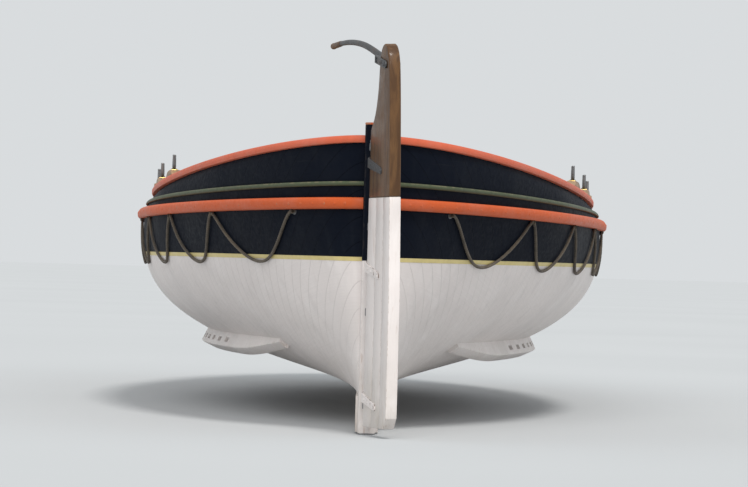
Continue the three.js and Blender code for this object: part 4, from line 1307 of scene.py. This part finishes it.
def knee_pair(x):
    """Grown knees on top of a thwart's ends, two to each side."""
    knees = Parts()
    top = sheer(x) - KNEE_BELOW_SHEER
    for middle in about(x, KNEE_APART):
        side = lambda z: inner_half(middle, z, KNEE_WALL)
        foot = side(SEAT) - KNEE_LENGTH
        start, heel = foot + KNEE_HEEL[0], SEAT + KNEE_HEEL[1]
        front = [(foot, SEAT), (start, heel)]
        for t in spread(0, math.pi / 2, 8)[1:-1]:
            y = mix(start, side(top) - 0.038, math.sin(t))
            front.append((y, mix(heel, top - 0.01, 1 - math.cos(t))))
        back = [(side(z) - 0.001, z) for z in spread(SEAT, top, 5)]
        outline = [*front, (side(top) - 0.030, top), *reversed(back)]
        knees.add(*cross_plate(outline, middle - KNEE_HALF, middle + KNEE_HALF, 0.004), along=2)
    return knees.mirrored()


CENTRE_COURSES = [ON_DECK, 0.295, 0.41, 0.505]
CENTRE_INNER = 0.0185
CENTRE_BOARD, CENTRE_RAIL, CENTRE_POST = 0.055, 0.063, 0.058  # how far out each goes
CENTRE_ENDS = 0.045  # how far the case goes on past its slot
CENTRE_BOLTS = (0.25, 0.45)


def add_centre_cases():
    for name, pivot in DROP_KEEL_PIVOTS.items():
        x0, x1 = slot_span(pivot)
        x0, x1 = x0 - CENTRE_ENDS, x1 + CENTRE_ENDS
        parts, iron = Parts(), Parts()
        for side in (1, -1):
            inner = side * CENTRE_INNER
            for low, high in pairwise(CENTRE_COURSES):
                heights = (low + 0.001, high - 0.001)
                parts.add(*block((x0 + 0.04, x1 - 0.04), (inner, side * CENTRE_BOARD), heights, 0.003))
            for heights in ((0.505, 0.534), (ON_DECK, 0.215)):
                parts.add(*block((x0, x1), (inner, side * CENTRE_RAIL), heights, 0.006))
            for x in spread(x0 + 0.1, x1 - 0.1, 6):
                for z in CENTRE_BOLTS:
                    iron.add(*dome((x, side * (CENTRE_BOARD - 0.0005), z), (0, side, 0), 0.014, 0.006))
        for x in ((x0 + 0.002, x0 + 0.042), (x1 - 0.042, x1 - 0.002)):
            parts.add(*block(x, (-CENTRE_POST, CENTRE_POST), (ON_DECK, 0.5055), 0.005), along=2)
        piece("centre_case_boards_" + name, parts, GREY, ["centre_case_" + name])
        piece("centre_case_bolts_" + name, iron, IRON)


def add_drop_keels():
    for name in DROP_KEEL_PIVOTS:
        node = "drop_keel_" + name
        body = Parts().add(*copied(node, 0.002, 1, 0.4))
        piece(node + "_plate", body, STEEL, [node], body=name + "_plate")


BITTS = [
    ("bitt_bow", 4.65, 0, 1.12),
    ("bitt_stern_port", -5.05, 0.42, 1.08),
    ("bitt_stern_starboard", -5.05, -0.42, 1.08),
]
BITT_CUT = 0.012
BITT_SHAPE = [  # down from the top, and half-width
    (0.32, 0.065), (0.30, 0.060), (0.19, 0.056), (0.09, 0.057), (0.065, 0.065), (0.016, 0.065), (0, 0.052),
]
BITT_STRAP = (0.069, 0.004, 0.03)  # off the middle, half-thickness and half-width
BITT_STRAP_FOOT = 0.07
PIN_DOWN = 0.11
PIN_HALF = 0.19
PIN_END = [(0, 0.001), (0, 0.018), (0.012, 0.025), (0.02, 0.026), (0.032, 0.018)]
PIN = PIN_END + [(2 * PIN_HALF - distance, radius) for distance, radius in reversed(PIN_END)]


def add_bitts():
    for name, x, y, top in BITTS:
        rows = [(ON_DECK, BITT_SHAPE[0][1])] + [(top - down, half) for down, half in BITT_SHAPE]
        loops = []
        for z, half in rows:
            cut = half - BITT_CUT
            corners = [(cut, half), (-cut, half), (-half, cut), (-half, -cut),
                       (-cut, -half), (cut, -half), (half, -cut), (half, cut)]
            loops.append([(x + dx, y + dy, z) for dx, dy in corners])
        piece(name + "_post", Parts().add(*skin(loops), along=2), OAK, [name])
        iron = Parts().add(*turned(PIN, (x, y - PIN_HALF, top - PIN_DOWN), ACROSS, 18), along=1)
        for way in ((1, 0), (-1, 0), (0, 1), (0, -1)):
            out, thin, wide = BITT_STRAP
            at = [middle + off * out for middle, off in zip((x, y), way)]
            thick = [about(a, thin if off else wide) for a, off in zip(at, way)]
            flat = [(a, a + off * BITT_STRAP_FOOT) if off else about(a, wide) for a, off in zip(at, way)]
            iron.add(*block(*thick, (DECK_TOP, DECK_TOP + 0.12), 0.002, 1), along=2)
            iron.add(*block(*flat, (DECK_TOP, DECK_TOP + 0.008), 0.002, 1))
        piece(name + "_iron", iron, IRON)


LOCKER_X = -4.47
LOCKER_HALF = 0.15
LOCKER_TOP = 0.52
FRAME_THICK = 0.02
LID_HALF = 0.17
LID = (0.516, 0.545)
CORNER_WIDE = 0.035
RAIL_TALL = 0.05
HINGES = (-0.09, 0.09)


def add_locker():
    x, half, low, top = LOCKER_X, LOCKER_HALF, ON_DECK, LOCKER_TOP
    wood, brass = Parts(), Parts()
    inside = half - 0.006
    wood.add(*block(about(x, inside), (-inside, inside), (low, top), 0.003), along=2)
    for a in (-1, 1):
        for b in (-1, 1):
            near = half - CORNER_WIDE
            corner = block((x + a * half, x + a * near), (b * half, b * near), (low, top))
            wood.add(*corner, along=2)
    inner = half - FRAME_THICK
    for heights in ((low, low + RAIL_TALL), (top - RAIL_TALL, top)):
        for side in (-1, 1):
            wood.add(*block(about(x, inner), (side * half, side * inner), heights, 0.003))
        for side in (-1, 1):
            wood.add(*block((x + side * half, x + side * inner), (-inner, inner), heights, 0.003), along=1)
    wood.add(*block(about(x, LID_HALF), (-LID_HALF, LID_HALF), LID, 0.008, 3), along=1)
    piece("locker_case", wood, VARNISH, ["compass_locker"])
    for y in HINGES:
        brass.add(*tube([Vector((x - 0.168, y + end, 0.512)) for end in (-0.03, 0.03)], 0.006, 10), along=1)
        brass.add(*block((x - half - 0.004, x - half), about(y, 0.025), (0.45, 0.51), 0.001, 1), along=2)
    brass.add(*block((x + half, x + half + 0.006), (-0.02, 0.02), (0.46, 0.515), 0.002, 1), along=2)
    piece("locker_fittings", brass, BRASS)


# Spars, sails and oars

MAST_HEEL = 0.4  # how far the mast goes on beyond its pivot
MAST_SQUARE = 0.70  # from its heel, where it starts to go from square to round
MAST_ROUND = 0.95
MAST_EYES = 0.93  # share of the length, where the eyes for the stays are
MAST_BANDS = [(0.105, 0.05), (0.62, 0.04), (MAST_EYES, 0.045), (0.985, 0.03)]  # share, and width


MAST_FOOT = [(0, 0.074), (0.006, 0.080), (0.4, 0.081), (0.75, 0.083)]
MAST_HEAD = [(7.6, 0.050), (7.68, 0.047), (7.7, 0.040)]
HEEL_HOOP = (0.385, 0.079, 0.028)  # distance from the pivot, radius and width
EYE_OUT = 0.072
EYE_RADIUS = 0.02


def mast_radius(share):
    return mix(*MAST_RADII, share)


def hoop(x, y, z, radius, width, proud):
    """An iron band round a spar that lies along X."""
    stops = [(0, radius), (0.002, radius + proud), (width - 0.002, radius + proud), (width, radius)]
    return turned(stops, (x - width / 2, y, z), AHEAD, 28)


def add_foremast():
    x, _, z = MAST_PIVOT
    middle = [(MAST_HEEL + MAST_LENGTH * k / 24, mast_radius(k / 24)) for k in range(2, 24)]
    loops = []
    for distance, radius in MAST_FOOT + middle + MAST_HEAD:
        power = mix(7, 2, min(max(distance - MAST_SQUARE, 0) / (MAST_ROUND - MAST_SQUARE), 1))
        loops.append(oval(x + MAST_HEEL - distance, 0, z, radius, radius, 32, power=power))
    piece("foremast_spar", Parts().add(*skin(loops)), SPRUCE, ["foremast"], body="mast")
    iron = Parts()
    for share, width in MAST_BANDS:
        iron.add(*hoop(x - MAST_LENGTH * share, 0, z, mast_radius(share) - 0.001, width, 0.0055))
    off, radius, width = HEEL_HOOP
    iron.add(*hoop(x + off, 0, z, radius, width, 0.005))
    for side in (1, -1):
        eye = Vector((x - MAST_LENGTH * MAST_EYES, EYE_OUT * side, z))
        loop = [eye + (AHEAD * c + UP * s) * EYE_RADIUS for c, s in circle(16)]
        iron.add(*tube(loop, 0.005, 8, closed=True, up=ACROSS))
    piece("foremast_bands", iron, BLACK_IRON, body="mast")


STEP_HALF = 0.13  # half the length of the tabernacle's cheeks
STEP_INNER, STEP_OUTER = 0.097, 0.157
STEP_BAND = 0.40  # height of the lower band, the upper one is at the pin
PIN_HEAD = [(0, 0.034), (0.006, 0.034), (0.010, 0.028), (0.016, 0.026), (0.02, 0.018)]


def add_tabernacle():
    x, _, z = MAST_PIVOT
    wood, iron = Parts(), Parts()
    (foot_aft, foot_fore), (neck_aft, neck_fore) = about(x, STEP_HALF), about(x, STEP_HALF - 0.002)
    outline = [(foot_aft, ON_DECK), (foot_fore, ON_DECK), (neck_fore, z - 0.02)]
    outline += arc((x, z + 0.03), 0.10, 25, 155, 10) + [(neck_aft, z - 0.02)]
    for side in (1, -1):
        wood.add(*plate(outline, side * STEP_INNER, side * STEP_OUTER, 0.006), along=2)
        band = (side * (STEP_OUTER - 0.001), side * (STEP_OUTER + 0.006))
        for height in (z, STEP_BAND):
            iron.add(*block(about(x, STEP_HALF + 0.002), band, about(height, 0.028), 0.002, 1))
        iron.add(*turned(PIN_HEAD, (x, side * 0.161, z), ACROSS * side, 16), along=1)
    wood.add(*block((neck_aft, neck_fore), (-0.155, 0.155), (ON_DECK, 0.30), 0.008), along=1)
    iron.add(*turned([(0, 0.0195), (0.2, 0.0195)], (x, -0.10, z), ACROSS, 20), along=1)
    piece("tabernacle_cheeks", wood, OAK, ["tabernacle"])
    piece("tabernacle_iron", iron, BLACK_IRON)


CRUTCH_X = -3.9
CRUTCH_HALF = 0.05
CRUTCH_THICK = 0.035  # half of it, along the boat
CRUTCH_FOOT = 0.12
CRUTCH_LEATHER = ((-0.03, -0.004), (0.03, -0.004), (0.03, 0.003), (-0.03, 0.003))  # along, and out


def add_crutch():
    x, z = CRUTCH_X, MAST_PIVOT.z
    radius = mast_radius((MAST_PIVOT.x - x) / MAST_LENGTH)
    inner = radius + 0.009
    seat = z - radius
    half = [
        (CRUTCH_HALF, ON_DECK + 0.03), (CRUTCH_HALF, seat - 0.09), (inner + 0.034, seat - 0.04),
        (inner + 0.034, z + 0.055), (inner + 0.022, z + 0.06), (inner + 0.004, z + 0.055),
    ]
    outline = [*half, *reversed(arc((0, z), inner, 200, 340, 12)), *mirror(half)]
    wood = Parts().add(*cross_plate(outline, *about(x, CRUTCH_THICK), 0.005), along=2)
    wood.add(*block(about(x, CRUTCH_FOOT), (-CRUTCH_FOOT, CRUTCH_FOOT), (ON_DECK, 0.215), 0.008))
    piece("crutch_timber", wood, OAK, ["mast_crutch"])
    loops = []
    for y, height in arc((0, z), inner - 0.003, 188, 352, 16):
        out = Vector((0, y, height - z)).normalized()
        loops.append([Vector((x + dx, y, height)) + out * rise for dx, rise in CRUTCH_LEATHER])
    piece("crutch_leather", Parts().add(*skin(loops), along=1), LEATHER)


STOWED = {  # across, fore end, after end, and the radius at each
    "fore_yard": (0.190, 2.30, -2.95, 0.042, 0.030),
    "fore_sail": (0.345, 1.90, -2.50, 0.105, 0.092),
    "mizzen_mast": (-0.195, 2.45, -2.35, 0.058, 0.040),
    "mizzen_sail": (-0.355, 1.50, -2.10, 0.092, 0.084),
}
SPAR_TIP = 0.11  # the length of a spar's rounded tip
SPAR_BANDS = (0.02, 0.34, 0.66, 0.975)  # shares of the way aft
SPAR_BAND = (0.028, 0.0012)  # width, and how proud it is


def add_stowed_spars():
    for node in ("fore_yard", "mizzen_mast"):
        y, x0, x1, r0, r1 = STOWED[node]
        loops = []
        for share in spread(0, 1, 60):
            room = mix(r0, r1, share)
            end = min(share, 1 - share) * (x0 - x1)
            radius = room * min(1, 0.72 + 2.6 * end) if end < SPAR_TIP else room
            loops.append(oval(mix(x0, x1, share), y, SEAT + room, radius, radius, 24, shift=0))
        piece(node + "_spar", Parts().add(*skin(loops)), SPRUCE, [node])
        iron = Parts()
        for share in SPAR_BANDS:
            radius = mix(r0, r1, share)
            iron.add(*hoop(mix(x0, x1, share), y, SEAT + radius, radius - 0.001, *SPAR_BAND))
        piece(node + "_bands", iron, BLACK_IRON)


SAIL_TIES = [0.05, 0.17, 0.29, 0.41, 0.53, 0.65, 0.77, 0.88, 0.955]
TIE_TURNS = (-0.008, 0.008)
TIE_RADIUS = 0.0055
TIE_OUT = 0.004
SAIL_STEPS = 320
SAIL_SIDES = 64
SAIL_ENDS = [(0.94, 0.004), (0.80, 0.0), (0.70, -0.012), (0.45, -0.022), (0.38, -0.006)]  # scale, and inward


def roll_radius(share, turn, length, index):
    """How far a furled sail stands out from its middle, as a share of its room."""
    near = min(abs(share - tie) * length for tie in SAIL_TIES)
    end = min(share, 1 - share) * length
    along = share * length
    c, s = math.cos(turn), math.sin(turn)
    lump = noise.fractal(Vector((along * 1.6, c * 2.2, s * 2.2 + index * 9)) * 1.3, 0.8, 2.0, 4)
    crease = noise.fractal(Vector((along * 2.4, c * 5, s * 5 + index * 5)), 0.7, 2.0, 3)
    twist = turn + 0.5 * math.sin(share * 8 + index) + 0.25 * crease
    layers = 0.030 * math.sin(5 * twist) + 0.020 * (1 - abs(math.sin(4.5 * twist + along * 2)))
    gathers = 0.030 * math.exp(-near / 0.075) * math.sin(17 * turn + 3 * lump)
    lap = (turn / TAU + 0.13 + 0.05 * math.sin(share * 7)) % 1
    edge = 0.085 * max(0, 1 - lap * 6)
    pinch = 1 - 0.17 * math.exp(-((near / 0.05) ** 2))
    taper = 0.72 + 0.28 * min(end / 0.22, 1) ** 0.5
    return taper * pinch * (0.90 + 0.050 * lump + 0.025 * crease + layers + gathers + edge)


def roll_loop(node, share, index, scale=1.0, inward=0.0):
    y, x0, x1, r0, r1 = STOWED[node]
    room = mix(r0, r1, share)
    loop = []
    for j in range(SAIL_SIDES):
        turn = TAU * j / SAIL_SIDES
        r = room * scale * roll_radius(share, turn, x0 - x1, index)
        dz = min(max(r * math.sin(turn), 0.001 - room), room)
        dy = min(max(r * 1.03 * math.cos(turn), -room), room)
        loop.append(Vector((mix(x0, x1, share) + inward, y + dy, SEAT + room + dz)))
    settle = 0.9 * (min(p.z for p in loop) - SEAT) if scale == 1 else 0.0
    return [p - UP * settle for p in loop]


def add_sails():
    """Furled sails: soft rolls, pinched by their ties, with a lap of cloth along them and open ends."""
    for index, node in enumerate(("fore_sail", "mizzen_sail")):
        body = [roll_loop(node, share, index) for share in spread(0, 1, SAIL_STEPS)]
        tips = []
        for share, way, last in ((0.0, 1, body[0]), (1.0, -1, body[-1])):
            tip = []
            for scale, inward in SAIL_ENDS:
                loop = roll_loop(node, share, index, scale, way * inward)
                drop = min(p.z for p in last) - min(p.z for p in loop)
                tip.append([p + UP * drop * scale for p in loop])
            tips.append(tip)
        whole = tips[0][::-1] + body + tips[1]
        girth = [TAU * j / SAIL_SIDES * STOWED[node][3] for j in range(SAIL_SIDES)]
        grain = [(p.x, around, 0) for loop in whole for p, around in zip(loop, girth)]
        sail = piece(node + "_roll", Parts().add(*skin(whole), grain), CANVAS, [node], sharp=60)
        ties = Parts()
        for tie in SAIL_TIES:
            row = body[round(tie * SAIL_STEPS)]
            middle = sum(row, Vector()) / len(row)
            outs = [p - middle for p in row[::2]]
            for shift in TIE_TURNS:
                line = [middle + out * (1 + TIE_OUT / out.length) + AHEAD * shift for out in outs]
                ties.add(*tube(line, TIE_RADIUS, 8, closed=True, up=AHEAD))
        piece(node + "_ties", ties, ROPE)


OAR_ROWS = [1.110, 1.265, 1.420]
OAR_LAYER = 0.061
OAR_FORE = 2.35
OAR_RADIUS = 0.030
OAR_BLADE = 3.9  # from the handle's end
OAR_STOPS = [  # distance from the handle's end, half-width, half-height
    (0.000, 0.012, 0.012), (0.006, 0.019, 0.019), (0.015, 0.021, 0.021), (0.13, 0.0185, 0.0185),
    (0.16, 0.020, 0.020), (0.19, 0.028, 0.028), (0.24, 0.030, 0.030), (1.20, 0.030, 0.030),
    (1.60, 0.0295, 0.0295), (2.60, 0.027, 0.027), (3.60, 0.024, 0.024), (3.95, 0.0225, 0.0225),
    (4.06, 0.025, 0.021), (4.16, 0.040, 0.017), (4.30, 0.060, 0.0125), (4.45, 0.069, 0.010),
    (4.62, 0.072, 0.008), (4.68, 0.071, 0.007), (4.694, 0.066, 0.006), (4.70, 0.058, 0.004),
]
LEATHER_AT = OAR_FORE - 1.52
LEATHER_STOPS = [(0, 0.0302), (0.004, 0.0335), (0.29, 0.0335), (0.294, 0.0302)]
LEATHER_LAYERS = [(0.0312, 0.0308), (0.0335, 0.0298)]  # most radius, and height over the oar's seat
LASHED_AT = (1.76, -0.44)
LASHING_HALF = 0.022  # half the width of a lashing's turns
LASHING_RADIUS = 0.0052
LASHING_TURN = 0.020
LASHING_OUT = 0.005


def oar_body(y, z):
    """One oar, its handle forward."""
    loops = []
    for distance, wide, high in OAR_STOPS:
        middle = z + mix(OAR_RADIUS, 0.024, min(max(distance - OAR_BLADE, 0) / 0.5, 1))
        loops.append(oval(OAR_FORE - distance, y, middle, wide, high, 16))
    return skin(loops)


def add_oars():
    left, right = OAR_ROWS[0] - OAR_RADIUS + LASHING_TURN, OAR_ROWS[-1] + OAR_RADIUS - LASHING_TURN
    low, high = SEAT + 0.010 + LASHING_TURN, SEAT + OAR_LAYER + 2 * OAR_RADIUS - LASHING_TURN
    path = []
    for centre, start in (((right, high), 0), ((left, high), 90), ((left, low), 180), ((right, low), 270)):
        path += arc(centre, LASHING_TURN + LASHING_OUT, start, start + 90, 5)
    for name, side in SIDES.items():
        wood, leathers, ties = Parts(), Parts(), Parts()
        for y in OAR_ROWS:
            for layer, (most, rise) in enumerate(LEATHER_LAYERS):
                z = SEAT + layer * OAR_LAYER
                wood.add(*oar_body(y, z))
                stops = [(distance, min(radius, most)) for distance, radius in LEATHER_STOPS]
                leathers.add(*turned(stops, (LEATHER_AT, y, z + rise), AHEAD, 20))
        for x in LASHED_AT:
            for shift in spread(-LASHING_HALF, LASHING_HALF, 4):
                line = [Vector((x + shift, y, z)) for y, z in path]
                ties.add(*tube(line, LASHING_RADIUS, 8, closed=True, up=AHEAD))
        piece("oar_set_" + name, wood, OAR_WOOD, ["oars_" + name], side=side)
        piece("oar_leathers_" + name, leathers, LEATHER, side=side)
        piece("oar_lashings_" + name, ties, ROPE, side=side)


# Rudder: its frame's Z axis is the rod, and it is turned by the helm

ROD_X = post_outer(0) - ROD_OFF_POST / math.cos(RAKE)
ROD_FRAME = Matrix.Translation((ROD_X, 0, 0)) @ Matrix.Rotation(-RAKE, 4, "Y")
HELM_FRAME = ROD_FRAME @ Matrix.Rotation(HELM_AT_REST, 4, "Z")
ROD_RADIUS = 0.0175
EYES = [-0.615, 0.0, 0.560, 1.080]
EYE_HALF = 0.025
RUDDER_HALF = 0.037
RUDDER_EDGE = -0.040
RUDDER_PAINT_LINE = 0.735
RUDDER_FOOT = -0.74
RUDDER_CUTS = [0, 0.36, 0.70, 1]  # where its planks meet, as shares of the way aft
RUDDER_SEAM = 0.0012
BLADE_TURN = -0.64  # where the blade's after edge starts to round into its foot
BLADE_BEND = 0.1
ROD_FROM, KNOB_FROM = -0.66, 1.108
ROD = [(0, 0.010), (0.004, ROD_RADIUS), (1.784, ROD_RADIUS), (1.786, ROD_RADIUS), (1.79, 0.010)]
KNOB = [(0, ROD_RADIUS), (0.0, 0.026), (0.008, 0.028), (0.016, 0.026), (0.02, 0.012)]
EYE = [(0, 0.027), (0.004, 0.030), (0.046, 0.030), (0.05, 0.027)]
LUG_HALF = 0.021
STRAP_HALF = 0.032
STRAP_REACH = 0.30
STRAP_THICK = 0.007
STRAP_BORE = 0.0203
GUDGEONS_BLADE = [EYES[0] + EYE_HALF + CLEAR + STRAP_HALF, 0.300]
GUDGEON_HEAD = 0.980
HEAD_EDGE = -0.215
HEAD_POINTS = [
    (-0.545, RUDDER_PAINT_LINE), (-0.505, 1.200), (-0.470, 1.480), (-0.440, 1.600), (-0.390, 1.672),
    (-0.330, 1.700), (-0.278, 1.688), (HEAD_EDGE - 0.018, 1.640), (HEAD_EDGE, 1.550), (-0.192, 1.400),
    (-0.135, 1.262), (RUDDER_EDGE, 1.170),
]


def on_rudder(x, z):
    return x, (z - x * math.sin(RAKE)) / math.cos(RAKE)


def blade_aft(z):
    if z < BLADE_TURN:
        t = (z - BLADE_TURN) / 0.10
        return -0.600 + 0.06 * (1 - math.sqrt(max(1 - t * t, 0)))
    if z < BLADE_BEND:
        return mix(-0.600, -0.590, (z - BLADE_TURN) / (BLADE_BEND - BLADE_TURN))
    return mix(-0.590, -0.545, (z - BLADE_BEND) / 0.634)


def rudder_planks():
    """The blade's planks, side by side."""
    parts = Parts()
    rows = [(z, blade_aft(z)) for z in spread(RUDDER_FOOT, RUDDER_PAINT_LINE - 0.001, 22)]
    for a, b in pairwise(RUDDER_CUTS):
        fore_gap, aft_gap = RUDDER_SEAM if a else 0, RUDDER_SEAM if b < 1 else 0
        fore = [on_rudder(mix(RUDDER_EDGE, edge, a) - fore_gap, z) for z, edge in rows]
        aft = [on_rudder(mix(RUDDER_EDGE, edge, b) + aft_gap, z) for z, edge in rows]
        parts.add(*plate(aft + fore[::-1], -RUDDER_HALF, RUDDER_HALF), along=2, place=HELM_FRAME)
    return parts


def strap(along):
    """A gudgeon: a ring round the rod and a strap down each side of the rudder, with its bolts."""
    iron, bolts = Parts(), Parts()
    low, high = about(along, STRAP_HALF)
    tall = 2 * STRAP_HALF
    stops = [(0, 0.0335), (0.004, 0.0350), (tall - 0.004, 0.0350), (tall, 0.0335)]
    stops += [(tall, STRAP_BORE), (0, STRAP_BORE)]
    loops = [[(radius * c, radius * s, low + up) for c, s in circle(28)] for up, radius in stops]
    iron.add(*skin(loops, closed=True), along=2, place=HELM_FRAME)
    end = RUDDER_EDGE - STRAP_REACH
    outline = [(-0.012, low), (-0.012, high), (end + 0.03, along + STRAP_HALF * 0.72)]
    outline += arc((end + 0.02, along), STRAP_HALF * 0.7, 90, 270, 8)
    outline.append((end + 0.03, along - STRAP_HALF * 0.72))
    face = RUDDER_HALF + STRAP_THICK
    for side in (1, -1):
        iron.add(*plate(outline, side * (RUDDER_HALF - 0.002), side * face, 0.002, 1), place=HELM_FRAME)
        for x in spread(RUDDER_EDGE - 0.04, end + 0.025, 3):
            bolts.add(*dome((x, side * (face - 0.001), along), (0, side, 0), 0.012, 0.0055), place=HELM_FRAME)
    return iron, bolts


def add_rudder():
    piece("rudder_planks", rudder_planks(), WHITE_TRIM, ["rudder_blade"], body="rudder")
    outline = [on_rudder(RUDDER_EDGE, RUDDER_PAINT_LINE)] + [on_rudder(*p) for p in smooth(HEAD_POINTS, 4)]
    head = Parts().add(*plate(outline, -RUDDER_HALF, RUDDER_HALF, 0.010, 3), along=2, place=HELM_FRAME)
    piece("rudder_head_timber", head, VARNISH, ["rudder_head"], body="rudder")
    for index, along in enumerate(GUDGEONS_BLADE, 1):
        iron, bolts = strap(along)
        piece(f"blade_strap_{index}", iron, WHITE_IRON, ["rudder_blade"], body="rudder")
        piece(f"blade_strap_bolts_{index}", bolts, WHITE_IRON, body="rudder")
    iron, bolts = strap(GUDGEON_HEAD)
    piece("head_strap", iron, BLACK_IRON, ["rudder_head"], body="rudder")
    piece("head_strap_bolts", bolts, BLACK_IRON, body="rudder")
    add_tiller()
    add_rod()


TILLER_POINTS = [
    (-0.212, 1.600), (-0.060, 1.644), (0.150, 1.692), (0.330, 1.725), (0.520, 1.747), (0.720, 1.759),
    (0.920, 1.760), (1.120, 1.752),
]
CHEEK = 0.012
CHEEK_AFT = 0.190
YOKE_FORE = 0.075
TILLER_HALF = 0.025
CHEEK_CLEAR = 0.0008
TILLER_THICK = (0.0185, 0.0150)
TILLER_SHAPE = (1.30, 1.0)  # its height over its width
GRIP_LENGTH = 0.22
GRIP = [
    (0, 0.0165), (0.004, 0.0185), (0.05, 0.0195), (0.14, 0.0200), (0.18, 0.0190), (0.196, 0.0215),
    (0.212, 0.0205), (0.219, 0.012),
]


def add_tiller():
    iron = Parts()
    line = [Vector((x, 0, along)) for x, along in (on_rudder(*p) for p in smooth(TILLER_POINTS, 6))]
    root = line[0]
    fore = root.x + YOKE_FORE
    bar = [p for p in line if p.x > root.x + 0.04]
    thick, tall = lambda share: mix(*TILLER_THICK, share), lambda share: mix(*TILLER_SHAPE, share)
    iron.add(*tube(bar, thick, 20, tall), place=HELM_FRAME)
    inner = RUDDER_HALF + CHEEK_CLEAR
    outer = inner + CHEEK
    end = root.x - CHEEK_AFT + TILLER_HALF
    low, high = about(root.z, TILLER_HALF)
    outline = [(fore, low), (fore, high), *arc((end, root.z), TILLER_HALF, 90, 270, 8)]
    for side in (1, -1):
        iron.add(*plate(outline, side * inner, side * outer, 0.0025), place=HELM_FRAME)
        for x in (end + 0.015, end + 0.095):
            iron.add(*dome((x, side * (outer - 0.001), root.z), (0, side, 0), 0.015, 0.008), place=HELM_FRAME)
    iron.add(*block((root.x + 0.001, fore + 0.001), (-outer, outer), (low, high), 0.007, 3), place=HELM_FRAME)
    piece("tiller_bar", iron, BLACK_IRON, ["tiller"], body="rudder")
    aim = (line[-1] - line[-7]).normalized()
    grip = Parts().add(*turned(GRIP, line[-1] - aim * GRIP_LENGTH, aim, 20), place=HELM_FRAME)
    piece("tiller_grip", grip, VARNISH, body="rudder")


def add_rod():
    iron, lugs = Parts(), Parts()
    iron.add(*turned(ROD, UP * ROD_FROM), along=2, place=ROD_FRAME)
    iron.add(*turned(KNOB, UP * KNOB_FROM, sides=20), along=2, place=ROD_FRAME)
    for along in EYES:
        lugs.add(*turned(EYE, UP * (along - EYE_HALF)), along=2, place=ROD_FRAME)
        lug = block((0, ROD_OFF_POST - 0.0004), (-LUG_HALF, LUG_HALF), about(along, EYE_HALF - 0.001))
        lugs.add(*lug, along=2, place=ROD_FRAME)
    piece("rudder_hinge_rod", iron, IRON, ["rudder_rod"])
    piece("rudder_hinge_eyes", lugs, IRON)


# Studio

FLOOR = -0.8
FLOOR_REACH = 400
FLOOR_TONES = [(0.488, 0.503, 0.513), (0.504, 0.519, 0.529)]
SKY_COLOR = (0.90, 0.93, 0.95)
SKY_STRENGTH = 0.77
SUNS = [
    # name, the way its light goes, strength, how wide it is in degrees, colour
    ("key", (0.62, 0.16, -0.77), 2.0, 12, (1.0, 0.975, 0.94)),
    ("fill", (0.88, -0.14, -0.45), 1.15, 30, (1.0, 0.985, 0.97)),
]


def add_stage():
    mesh = bpy.data.meshes.new("floor")
    corners = [(x * FLOOR_REACH, y * FLOOR_REACH, FLOOR) for x, y in ((-1, -1), (1, -1), (1, 1), (-1, 1))]
    mesh.from_pydata(corners, [], [(0, 1, 2, 3)])
    f = Finish("floor")
    color = f.fade(*FLOOR_TONES, f.noise(f.place, 0.12, 2), 0.3, 0.7)
    material, _ = f.done(color, 0.9, Specular_IOR_Level=0.0)
    mesh.materials.append(material)
    floor = placed("floor", mesh)


def add_lights():
    world = bpy.data.worlds.new("studio")
    world.use_nodes = True
    background = world.node_tree.nodes["Background"]
    background.inputs[0].default_value = (*SKY_COLOR, 1)
    background.inputs[1].default_value = SKY_STRENGTH
    bpy.context.scene.world = world
    for name, way, strength, width, color in SUNS:
        sun = bpy.data.lights.new(name, "SUN")
        sun.energy = strength
        sun.angle = math.radians(width)
        sun.color = color
        placed(name, sun).rotation_euler = Vector(way).to_track_quat("-Z", "Y").to_euler()
    bpy.context.scene.view_settings.view_transform = "Standard"


add_bottom()
add_topsides()
add_ribs()
add_strakes()
add_backbone()
add_deck()
add_end_cases()
add_side_cases()
add_thwarts()
add_centre_cases()
add_drop_keels()
add_bitts()
add_locker()
add_foremast()
add_tabernacle()
add_crutch()
add_stowed_spars()
add_sails()
add_oars()
add_rudder()
add_breast_hooks()
add_stage()
add_lights()
